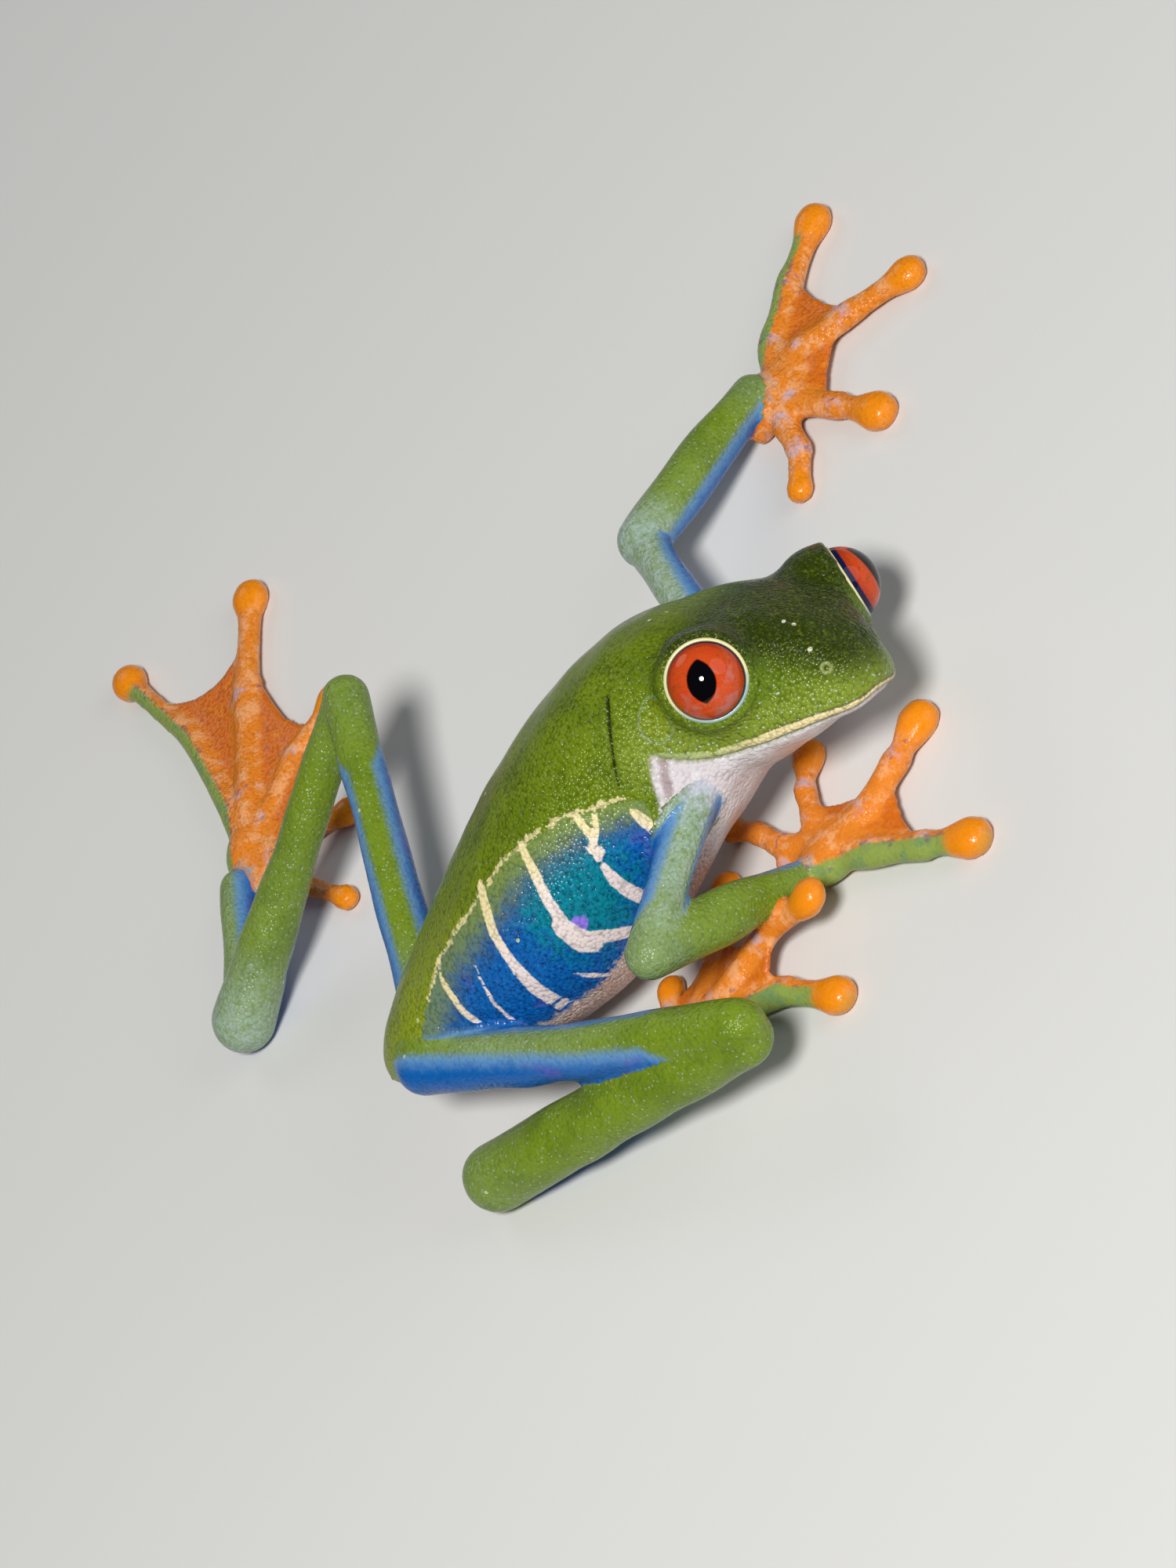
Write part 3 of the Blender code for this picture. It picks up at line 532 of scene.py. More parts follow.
@dataclass(frozen=True)
class Head:
    """The head in its own frame: forward, right and up from the middle between the eyes.

    A section holds its forward place and top, then the width and height of canthus, cheek and lip, the jaw's
    width, and the throat's forward place and height. The lips' knots end in a half width.
    """

    middle: tuple = (-9.6, -19.1, 13.35)
    forward: tuple = (-0.815, -0.578, -0.03)
    right: tuple = (-0.47, 0.63, 0.62)
    sections: tuple = (
        (7.7, -2.0, 1.2, -2.2, 1.9, -3.2, 1.9, -4.3, 1.5, 7.2, -5.2),
        (6.8, -0.9, 2.1, -1.1, 2.9, -3.0, 3.2, -4.4, 2.7, 6.2, -5.7),
        (5.0, 0.5, 3.1, 0.1, 4.2, -2.8, 4.8, -4.6, 4.0, 4.2, -6.4),
        (2.4, 1.9, 4.8, 1.5, 5.9, -2.6, 6.4, -5.0, 5.3, 1.6, -7.9),
        (-0.8, 2.6, 6.7, 2.3, 7.4, -2.4, 7.6, -5.4, 6.4, -1.4, -9.5),
        (-4.0, 3.0, 6.4, 1.9, 8.1, -2.6, 8.2, -6.0, 7.0, -4.2, -11.0),
        (-7.4, 3.2, 5.6, 1.4, 7.8, -3.0, 7.9, -6.6, 6.4, -7.0, -11.0),
        (-10.6, 2.4, 4.2, 0.4, 5.8, -3.4, 5.6, -6.4, 4.6, -10.2, -9.4),
    )
    snout_tip: tuple = (8.35, 0.0, -3.3)
    nape_end: tuple = (-11.6, 0.0, -3.6)
    nostril: tuple = (6.05, 2.9, -1.6)
    eardrum: tuple = (-4.55, 9.8, -2.45)
    eardrum_size: tuple = (1.2, 1.72, 1.72)
    crease: tuple = ((-8.3, 10.0, 0.1), (-8.0, 10.65, -0.6), (-7.7, 11.15, -1.15), (-7.35, 11.9, -2.3),
                     (-7.1, 12.5, -3.6), (-6.9, 13.0, -4.9), (-6.7, 13.3, -6.0))
    lips: tuple = (
        (7.9, -0.8, -4.25, 0.20), (7.75, 0.8, -4.3, 0.22), (7.1, 2.35, -4.65, 0.27), (6.25, 3.3, -4.7, 0.31),
        (5.25, 4.25, -4.85, 0.36), (4.2, 4.95, -5.0, 0.40), (3.1, 5.65, -5.2, 0.40), (1.9, 6.35, -5.45, 0.38),
        (0.5, 6.85, -5.65, 0.36), (-0.8, 7.35, -5.95, 0.35), (-2.15, 7.75, -6.05, 0.31), (-2.85, 8.8, -5.75, 0.27),
        (-3.55, 9.75, -5.35, 0.22), (-4.3, 10.6, -4.85, 0.17), (-4.85, 11.0, -4.55, 0.08),
    )
    neck_edge: float = -5.0
    throat_fold: tuple = ((-4.3, 10.7, -5.1), (-4.3, 11.0, -6.4), (-4.3, 11.1, -7.5), (-4.0, 11.6, -9.0))
    snout_ridge: tuple = ((5.4, 3.5, -0.8), (2.6, 5.6, 1.0))
    ear_fold: tuple = ((-3.6, 9.2, 0.6), (-8.6, 9.8, -2.6))

    @property
    def axes(self) -> Array:
        """Rows forward, right and up of the head's frame.

        Returns:
            Three unit rows.
        """
        forward = unit(np.array(self.forward))
        right = np.array(self.right)
        right = unit(right - forward * (right @ forward))
        return np.stack([forward, right, np.cross(right, forward)])

    def place(self, local: Array) -> Array:
        """Head coordinates on the floor frame."""
        return np.array(self.middle) + local @ self.axes

    def local(self, points: Array) -> Array:
        """Floor-frame points in head coordinates."""
        return (points - np.array(self.middle)) @ self.axes.T

    def form(self) -> Form:
        """Half sections mirrored into rings and skinned, with poles at the snout tip and the nape.

        Returns:
            The closed form.
        """
        rings = []
        for f, top, canthus, canthus_up, cheek, cheek_up, lip, lip_up, jaw, throat_f, throat_up in self.sections:
            half = np.array((
                (f, 0.0, top),
                (f, canthus, canthus_up + 0.3),
                (f, cheek, cheek_up),
                (f, lip + 0.1, lip_up + 0.35),
                (f - 0.1, lip - 0.2, lip_up * 0.7 + throat_up * 0.3),
                ((f + throat_f) / 2.0, jaw * 0.9, lip_up * 0.25 + throat_up * 0.75),
                (throat_f, 0.0, throat_up),
            ))
            rings.append(np.vstack([half, half[-2:0:-1] * (1.0, -1.0, 1.0)]))
        net = with_poles(np.array(rings), np.array(self.snout_tip), np.array(self.nape_end))
        made = loft(net, along=96, around=120)
        return Form(self.place(made.points), made.faces)

    def mirrored(self, local: Array) -> Array:
        """Head coordinates with the left side laid over the right one."""
        return np.stack([local[:, 0], np.abs(local[:, 1]), local[:, 2]], -1)

    def drum_place(self, flip: Array) -> Array:
        """Distance from the middle of the eardrum in eardrum sizes."""
        return np.linalg.norm((flip - np.array(self.eardrum)) / np.array(self.eardrum_size), axis=1)

    def lip_place(self, local: Array) -> tuple[Array, Array, Array, Array]:
        """Where points fall beside the upper lip's stripe, the same on both sides.

        Args:
            local: Points in head coordinates, (n, 3).
        Returns:
            Share from the snout to the corner, height over the stripe's middle, distance from it and its
            half width.
        """
        row = np.array(self.lips)
        share, offset, _, _ = line_place(self.mirrored(local), row[:, :3], np.zeros(len(row)))
        steps = lengths_along(row[:, :3])
        half = np.interp(share, steps / steps[-1], row[:, 3])
        return share, offset[:, 2], np.linalg.norm(offset, axis=1), half


@dataclass(frozen=True)
class Eye:
    """One eye: its opening beside the head, the ball behind it and the bump that carries the lids."""

    side: Side
    head: Head
    spread: float = 8.65
    yaw: float = 50.0
    lift: float = 15.0
    ball: float = 2.9
    depth: float = 1.0
    lid_depth: float = 0.55
    bump: float = 3.85
    bump_back: float = 1.35
    lid_ring: float = 2.86
    lid_thick: float = 0.17
    gaze: tuple = (0.0, 0.0)
    lean: float = 0.0
    pupil: tuple = (1.0, 1.0)

    @property
    def axis(self) -> Array:
        """The way the eye looks, from its yaw and lift.

        Returns:
            A unit direction.
        """
        yaw, lift = math.radians(self.yaw), math.radians(self.lift)
        local = (math.cos(lift) * math.cos(yaw), self.side.value * math.cos(lift) * math.sin(yaw), math.sin(lift))
        return unit(np.array(local) @ self.head.axes)

    @property
    def centre(self) -> Array:
        """Middle of the ball, behind the opening."""
        opening = self.head.place(np.array((0.0, self.side.value * self.spread, 0.0)))
        return opening - self.axis * self.depth

    @property
    def turn(self) -> Array:
        """Rows across, upright and outwards of the eye."""
        return frame_about(self.axis, self.head.axes[2])

    def bump_form(self) -> Form:
        """The lid bump, an egg cut flat at the plane of the lids.

        Returns:
            The closed form.
        """
        start = math.acos((self.bump_back + self.lid_depth) / self.bump)
        radii = np.full(3, self.bump)
        return dome(self.centre - self.axis * self.bump_back, radii, self.turn, start, rows=40, around=72)

    def build_ball(self) -> bpy.types.Object:
        """The eyeball, with each point's direction in the eye's frame kept as an attribute.

        Returns:
            The eyeball's object.
        """
        form = dome(self.centre, np.full(3, self.ball), self.turn, rows=64, around=96)
        piece = new_piece(f"eyeball_{self.side.word}", form.mesh(f"eyeball_{self.side.word}"))
        out = (form.points - self.centre) @ self.turn.T / self.ball
        lean = math.radians(self.lean)
        across = (out[:, 0] - self.gaze[0]) * math.cos(lean) + (out[:, 1] - self.gaze[1]) * math.sin(lean)
        level = (out[:, 1] - self.gaze[1]) * math.cos(lean) - (out[:, 0] - self.gaze[0]) * math.sin(lean)
        put_vectors(piece.data, "iris", out)
        put_vectors(piece.data, "pupil", np.stack([across / self.pupil[0], level / self.pupil[1], out[:, 2]], -1))
        return piece

    def build_lid(self) -> bpy.types.Object:
        """The thin rolled lid edge round the ball.

        Returns:
            The lid edge's object.
        """
        form = torus(self.centre + self.axis * self.lid_depth, self.turn, self.lid_ring, self.lid_thick)
        piece = new_piece(f"lid_edge_{self.side.word}", form.mesh(f"lid_edge_{self.side.word}"))
        put_vectors(piece.data, "iris", (form.points - self.centre) @ self.turn.T / self.ball)
        return piece


@dataclass(frozen=True)
class LimbPiece:
    """One length of a limb, with the green band that runs down it.

    The band faces one way at each end of the piece. It reaches some degrees to each side of that, given for
    the start, three quarters of the way along and the end. Frost is the share of bluish white in the skin at
    the start, a quarter, three quarters and the end.
    """

    name: str
    start: tuple
    end: tuple
    half: tuple
    facing: tuple
    band: tuple
    frost: tuple
    bow: tuple = (0.0, 0.0, 0.2)

    @property
    def knots(self) -> Array:
        """Start, bowed middle and end."""
        start, end = np.array(self.start), np.array(self.end)
        return np.stack([start, (start + end) / 2.0 + np.array(self.bow), end])

    @property
    def sizes(self) -> Array:
        """Half thickness at the start, the middle and the end."""
        return np.array(self.half)

    def form(self) -> Form:
        """The piece as a bar with round ends."""
        return bar(self.knots, self.sizes, self.sizes, along=60, around=32)

    def marks(self, points: Array) -> tuple[Array, Array, Array]:
        """Where points lie on the piece.

        Args:
            points: Points, (n, 3).
        Returns:
            Distance outside the piece, share along it, and millimetres past the green band's edge.
        """
        share, offset, ahead, gap = line_place(points, self.knots, self.sizes)
        faces = unit(np.array(self.facing))
        facing = unit(faces[0] + (faces[1] - faces[0]) * share[:, None])
        facing = unit(facing - ahead * (facing * ahead).sum(1)[:, None])
        cosine = (unit(offset - ahead * (offset * ahead).sum(1)[:, None]) * facing).sum(1)
        angle = np.degrees(np.arccos(np.clip(cosine, -1.0, 1.0)))
        edge = np.interp(share, (0.0, 0.75, 1.0), self.band)
        size = np.interp(share, (0.0, 0.5, 1.0), self.sizes)
        return gap, share, np.radians(angle - edge) * size


@dataclass(frozen=True)
class Digit:
    """A finger or toe: two bend points, then the middle of its disc.

    Swellings are half widths up to the waist, in shares of half; disc steps are places along the disc and
    half widths there, in shares of its own.
    """

    knots: tuple
    half: float
    disc: float
    flatness: float = 0.78
    swellings: tuple = (1.2, 1.15, 0.98, 1.08, 0.9, 0.92)
    disc_steps: tuple = ((-0.62, 0.86), (0.0, 1.02), (0.38, 0.94))

    def line(self, root: Array) -> tuple[Array, Array]:
        """Knots and half widths from inside the palm to the far edge of the disc.

        Args:
            root: Middle of the palm.
        Returns:
            Knots, (n, 3), and half widths.
        """
        first, second, tip = (np.array(knot) for knot in self.knots)
        way = unit(tip - second)
        waist = tip - way * self.disc * 1.3
        base = root + (first - root) * 0.25
        knots = [base, first, (first + second) / 2.0, second, (second + waist) / 2.0, waist]
        halves = [self.half * share + 0.04 for share in self.swellings]
        for reach, share in self.disc_steps:
            knots.append(tip + way * self.disc * reach)
            halves.append(self.disc * share)
        return np.array(knots), np.array(halves)

    def form(self, root: Array) -> Form:
        """The digit as a flattened bar that swells into its disc."""
        knots, halves = self.line(root)
        return bar(knots, halves, halves * self.flatness, along=56, around=24, caps=5)


@dataclass(frozen=True)
class Paw:
    """A hand or foot: palm, digits from the inner to the outer one, pads and webs."""

    name: str
    wrist: tuple
    palm: tuple
    palm_size: tuple
    digits: tuple
    reaches: tuple
    pads: tuple
    side: Side
    web_thick: float = 0.6
    web_dip: float = 0.84

    def spans(self, first: Digit, second: Digit, shares: Array) -> tuple[Array, Array]:
        """Places at shares of the way from the palm's middle along each of two digits.

        Args:
            first: One digit.
            second: Its neighbour.
            shares: Shares of the way, 0 to 1.
        Returns:
            Places on the first digit and on the second.
        """
        ends = []
        for digit in (first, second):
            knots = np.vstack([np.array(self.palm)[None], np.array(digit.knots)])
            steps = lengths_along(knots)
            ends.append(np.stack([np.interp(shares * steps[-1], steps, knots[:, k]) for k in range(3)], -1))
        return ends[0], ends[1]

    def web(self, first: Digit, second: Digit, reach: float) -> Form:
        """A web between two digits.

        Across it runs a quadratic curve (1-u)^2 A + 2u(1-u) P + u^2 B from one digit to the next, drawn in
        towards the palm at P; going out along the digits it repeats at growing reach.

        Args:
            first: One digit.
            second: Its neighbour.
            reach: Share of the digits' length that the web's free edge starts from.
        Returns:
            The closed web.
        """
        root = np.array(self.palm)
        near, far = self.spans(first, second, np.linspace(0.06, 1.0, 16) * reach)
        middle = (near + far) / 2.0
        pull = 2.0 * (root + (middle - root) * self.web_dip) - middle
        u = np.linspace(0.0, 1.0, 24)[:, None, None]
        sheet = (1.0 - u) ** 2 * near + 2.0 * u * (1.0 - u) * pull + u**2 * far
        half = UP * self.web_thick / 2.0
        rings = np.concatenate([sheet + half, (sheet - half)[:, ::-1]], axis=1)
        return closed_grid(rings, rings[0].mean(0), rings[-1].mean(0))

    def forms(self) -> list[Form]:
        """Palm, pads, digits and webs, each closed.

        Returns:
            The closed forms.
        """
        palm = np.array(self.palm)
        heading = palm - np.array(self.wrist)
        ahead = unit(heading * (1.0, 1.0, 0.0))
        turn = np.stack([ahead, np.cross(UP, ahead), UP])
        made = [dome(palm, np.array(self.palm_size), turn)]
        made += [dome(np.array(pad[:3]), np.array(pad[3:]), turn) for pad in self.pads]
        made += [digit.form(palm) for digit in self.digits]
        pairs = zip(self.digits, self.digits[1:], self.reaches)
        return made + [self.web(first, second, reach) for first, second, reach in pairs]

    def marks(self, points: Array) -> dict[str, Array]:
        """Where points lie on the paw.

        Args:
            points: Points, (n, 3).
        Returns:
            gap outside the paw, disc nearness, joint nearness, web share and outer-edge share.
        """
        root = np.array(self.palm)
        palm_gap = np.linalg.norm((points - root) / np.array((1.0, 1.0, 0.6)), axis=1) - self.palm_size[0]
        joint = np.zeros(len(points))
        for pad in self.pads:
            far = distance(points, pad[:3])
            palm_gap = np.minimum(palm_gap, far - pad[3])
            joint = np.maximum(joint, bell(far, pad[3] * 1.3))
        gap = palm_gap
        digit_gap = np.full(len(points), FAR)
        disc = np.zeros(len(points))
        for digit in self.digits:
            digit_gap = np.minimum(digit_gap, line_place(points, *digit.line(root))[3])
            disc = np.maximum(disc, fall(distance(points, digit.knots[2]) / digit.disc, 0.95, 1.35))
            for bend in digit.knots[:2]:
                joint = np.maximum(joint, bell(distance(points, bend), digit.half * 1.5))
        outer = self.digits[-1]
        _, offset, ahead, over = line_place(points, *outer.line(np.array(self.wrist)))
        sideways = (offset * np.cross(ahead, UP)).sum(1) * self.side.value
        edge = rise(sideways / outer.half, -0.65, 0.30) * fall(over, 0.3, 0.9)
        flat = np.array((1.0, 1.0, 2.5))
        for first, second, reach in zip(self.digits, self.digits[1:], self.reaches):
            near, far = self.spans(first, second, np.array((0.3, 0.65, 1.0)) * reach)
            middle = root + ((near + far) / 2.0 - root) * self.web_dip
            halves = np.linalg.norm(near - far, axis=1) / 2.0
            gap = np.minimum(gap, line_place(points * flat, middle * flat, halves)[3])
        gap = np.minimum(gap, digit_gap)
        web = rise(np.minimum(digit_gap, palm_gap), 0.1, 0.5)
        return {"gap": gap, "disc": disc, "joint": joint, "web": web, "edge": edge}


def limb_pieces() -> list[LimbPiece]:
    """All ten lengths of the limbs; facing is the way that the middle of the green band looks.

    Returns:
        The pieces.
    """
    seen = (-0.75, -0.15, 0.64)
    raised = (-0.37, -0.51, 0.78)
    return [
        LimbPiece("upper_arm_right", (-11.7, -7.9, 11.6), (-21.1, 3.2, 11.8), (1.9, 1.6, 1.75),
                  ((-0.62, -0.66, 0.42), (-0.72, -0.5, 0.5)), (34.0, 48.0, 120.0), (1.0, 0.8, 0.55, 0.3)),
        LimbPiece("forearm_right", (-21.1, 3.2, 11.8), (-16.4, -6.3, 2.1), (1.8, 2.05, 1.35),
                  (seen, (-0.85, 0.1, 0.4)), (180.0, 92.0, 70.0), (0.3, 0.05, 0.0, 0.1)),
        LimbPiece("thigh_right", (-8.6, 22.1, 9.4), (-29.4, 2.0, 8.7), (2.25, 2.15, 2.1),
                  (raised, (-0.57, -0.35, 0.74)), (16.0, 36.0, 180.0), (0.0, 0.3, 0.0, 0.0), (-0.3, 0.4, 0.05)),
        LimbPiece("shank_right", (-29.3, 2.6, 7.7), (-15.0, 24.5, 2.55), (2.35, 2.5, 2.6),
                  (seen, seen), (180.0, 150.0, 150.0), (0.0, 0.0, 0.0, 0.12)),
        LimbPiece("tarsus_right", (-15.7, 24.2, 1.95), (-19.6, 13.6, 1.75), (1.75, 1.55, 1.5),
                  ((-0.2, -0.1, 1.0), (-0.2, -0.1, 1.0)), (70.0, 60.0, 50.0), (0.1, 0.1, 0.2, 0.3), (0.0, 0.0, 0.0)),
        LimbPiece("upper_arm_left", (1.8, -13.4, 6.4), (16.1, -14.3, 6.9), (1.9, 1.6, 1.7),
                  ((0.3, 0.5, 0.8), (0.3, 0.5, 0.8)), (50.0, 74.0, 104.0), (0.95, 0.85, 0.8, 0.9)),
        LimbPiece("forearm_left", (16.1, -14.3, 6.9), (23.4, -27.0, 2.5), (2.0, 2.05, 1.65),
                  ((0.35, 0.1, 0.9), (0.35, 0.1, 0.9)), (112.0, 100.0, 100.0), (0.9, 0.1, 0.0, 0.2)),
        LimbPiece("thigh_left", (-2.8, 20.4, 6.8), (21.3, 9.5, 13.9), (2.2, 1.8, 1.75),
                  ((-0.6, -0.1, 0.75), (-0.6, -0.1, 0.75)), (28.0, 35.0, 180.0), (0.4, 0.0, 0.0, 0.1),
                  (0.0, 0.0, 0.3)),
        LimbPiece("shank_left", (21.3, 9.7, 13.6), (18.3, 34.2, 2.45), (1.75, 1.75, 2.5),
                  ((-0.55, 0.0, 0.85), (-0.55, 0.0, 0.85)), (180.0, 96.0, 110.0), (0.1, 0.0, 0.1, 0.8)),
        LimbPiece("tarsus_left", (18.9, 34.2, 2.1), (30.3, 28.8, 1.8), (1.7, 1.4, 1.45),
                  ((0.1, 0.3, 1.0), (0.1, 0.3, 1.0)), (60.0, 45.0, 45.0), (0.4, 0.3, 0.3, 0.3), (0.0, 0.0, 0.0)),
    ]


def paws() -> list[Paw]:
    """Both hands and both feet, digits from the inner to the outer one.

    Returns:
        The four paws.
    """
    palm_size = (2.7, 2.3, 1.4)
    sole_size = (2.9, 1.9, 1.4)
    return [
        Paw("hand_right", (-16.4, -6.3, 2.1), (-16.4, -9.4, 1.3), palm_size, (
            Digit(((-11.8, -6.9, 1.25), (-8.8, -6.0, 1.1), (-6.4, -4.7, 0.85)), 0.85, 1.05),
            Digit(((-12.6, -9.9, 1.35), (-9.4, -10.8, 1.1), (-7.1, -12.4, 0.85)), 0.85, 1.35),
            Digit(((-16.2, -13.4, 1.5), (-14.5, -17.4, 1.15), (-13.1, -20.2, 0.85)), 1.1, 1.6),
            Digit(((-19.6, -11.8, 1.5), (-22.8, -15.0, 1.15), (-25.3, -17.7, 0.85)), 1.1, 1.6),
        ), (0.35, 0.55, 0.72), ((-13.2, -6.6, 1.0, 1.1, 0.95, 0.9),), Side.RIGHT),
        Paw("hand_left", (23.4, -27.0, 2.5), (23.0, -29.0, 1.3), palm_size, (
            Digit(((19.7, -27.3, 1.25), (16.7, -26.7, 1.1), (14.1, -24.9, 0.85)), 1.0, 1.1),
            Digit(((20.6, -29.0, 1.35), (16.9, -31.2, 1.1), (13.6, -33.0, 0.85)), 1.05, 1.6),
            Digit(((24.1, -31.8, 1.5), (23.3, -36.2, 1.15), (21.7, -41.6, 0.85)), 1.05, 1.45),
            Digit(((26.8, -30.5, 1.5), (30.9, -34.7, 1.15), (34.1, -39.0, 0.85)), 1.1, 1.55),
        ), (0.35, 0.55, 0.72), ((21.6, -25.6, 1.0, 1.1, 0.95, 0.9),), Side.LEFT),
        Paw("foot_right", (-19.6, 13.6, 1.75), (-18.9, 9.6, 1.3), sole_size, (
            Digit(((-17.4, 10.6, 1.2), (-15.4, 10.0, 1.0), (-13.2, 10.2, 0.8)), 0.75, 0.95),
            Digit(((-17.2, 8.8, 1.3), (-15.2, 7.4, 1.1), (-13.3, 6.3, 0.85)), 0.8, 1.15),
            Digit(((-17.2, 5.2, 1.4), (-14.0, 1.2, 1.1), (-10.3, -1.5, 0.85)), 0.85, 1.35),
            Digit(((-18.4, 3.8, 1.5), (-18.5, -1.8, 2.5), (-20.9, -6.6, 4.2)), 0.95, 1.45),
            Digit(((-19.8, 4.4, 1.4), (-22.3, -0.3, 1.15), (-26.2, -3.1, 0.85)), 1.1, 1.5),
        ), (0.55, 0.75, 0.8, 0.8), (), Side.RIGHT),
        Paw("foot_left", (30.3, 28.8, 1.8), (33.2, 26.6, 1.3), sole_size, (
            Digit(((28.4, 26.6, 1.2), (25.0, 24.2, 1.0), (21.2, 22.4, 0.8)), 0.75, 1.05),
            Digit(((30.4, 25.6, 1.3), (29.2, 21.8, 1.1), (27.9, 18.3, 0.85)), 0.8, 1.25),
            Digit(((34.0, 24.2, 1.4), (37.2, 19.2, 1.1), (38.6, 14.0, 0.85)), 0.85, 1.4),
            Digit(((37.5, 23.9, 1.5), (46.5, 19.6, 1.15), (55.1, 14.7, 0.85)), 1.1, 1.6),
            Digit(((37.6, 25.8, 1.5), (48.4, 25.2, 1.15), (59.6, 27.0, 0.85)), 0.95, 1.55),
        ), (0.55, 0.76, 0.84, 0.88), (), Side.LEFT),
    ]


def new_piece(name: str, mesh: bpy.types.Mesh) -> bpy.types.Object:
    """Adds a finished, smooth-shaded piece to the scene and lets it ride on the frog's one body.

    Args:
        name: The piece's name.
        mesh: Its finished mesh.
    Returns:
        The piece.
    """
    piece = bpy.data.objects.new(name, mesh)
    bpy.context.scene.collection.objects.link(piece)
    mesh.shade_smooth()
    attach(piece, "root")
    return piece


def put_vectors(mesh: bpy.types.Mesh, name: str, values: Array) -> None:
    """Keeps three numbers for each point of a mesh as an attribute."""
    layer = mesh.attributes.new(name, "FLOAT_VECTOR", "POINT")
    layer.data.foreach_set("vector", np.ascontiguousarray(values, dtype=np.float32).ravel())


def read_rows(items: bpy.types.bpy_prop_collection, name: str, width: int, kind: type) -> Array:
    """One property of all of a mesh's points or edges.

    Args:
        items: Points, normals or edges.
        name: The property.
        width: How many numbers each item has.
        kind: Type of the numbers.
    Returns:
        One row of numbers for each item.
    """
    flat = np.empty(len(items) * width, dtype=kind)
    items.foreach_get(name, flat)
    return flat.reshape(-1, width)


def read_points(mesh: bpy.types.Mesh) -> Array:
    """A mesh's points in millimetres on the floor frame."""
    return read_rows(mesh.vertices, "co", 3, np.float32).astype(float) / MM - SHIFT


def read_edges(mesh: bpy.types.Mesh) -> Array:
    """Pairs of point numbers, one for each edge."""
    return read_rows(mesh.edges, "vertices", 2, np.int32)


def read_normals(mesh: bpy.types.Mesh) -> Array:
    """The outward direction at each point."""
    return read_rows(mesh.vertex_normals, "vector", 3, np.float32).astype(float)


def write_points(mesh: bpy.types.Mesh, points: Array) -> None:
    """Puts points in millimetres back into a mesh."""
    mesh.vertices.foreach_set("co", ((points + SHIFT) * MM).astype(np.float32).ravel())
    mesh.update()


def settle(mesh: bpy.types.Mesh, points: Array) -> None:
    """Puts points back into a mesh, with none of them under the floor."""
    write_points(mesh, np.maximum(points, (-np.inf, -np.inf, 0.0)))


def pull(points: Array, edges: Array) -> Array:
    """The way from each point to the mean of its neighbours.

    Args:
        points: Points, (n, 3).
        edges: Pairs of point numbers.
    Returns:
        One way for each point.
    """
    count = len(points)
    first, second = edges[:, 0], edges[:, 1]
    ties = np.bincount(first, minlength=count) + np.bincount(second, minlength=count)
    total = np.stack([
        np.bincount(first, points[second, k], count) + np.bincount(second, points[first, k], count) for k in range(3)
    ], -1)
    return total / np.maximum(ties, 1)[:, None] - points


def fair(points: Array, edges: Array, share: Array, rounds: int) -> Array:
    """Smooths ripples without shrinking: a step inwards of 0.5, then one outwards of 0.52, each round.

    Args:
        points: Points, (n, 3).
        edges: Pairs of point numbers.
        share: How much each point takes part, 0 to 1.
        rounds: How many rounds.
    Returns:
        The smoothed points.
    """
    for _ in range(rounds):
        points = points + share[:, None] * 0.5 * pull(points, edges)
        points = points - share[:, None] * 0.52 * pull(points, edges)
    return points


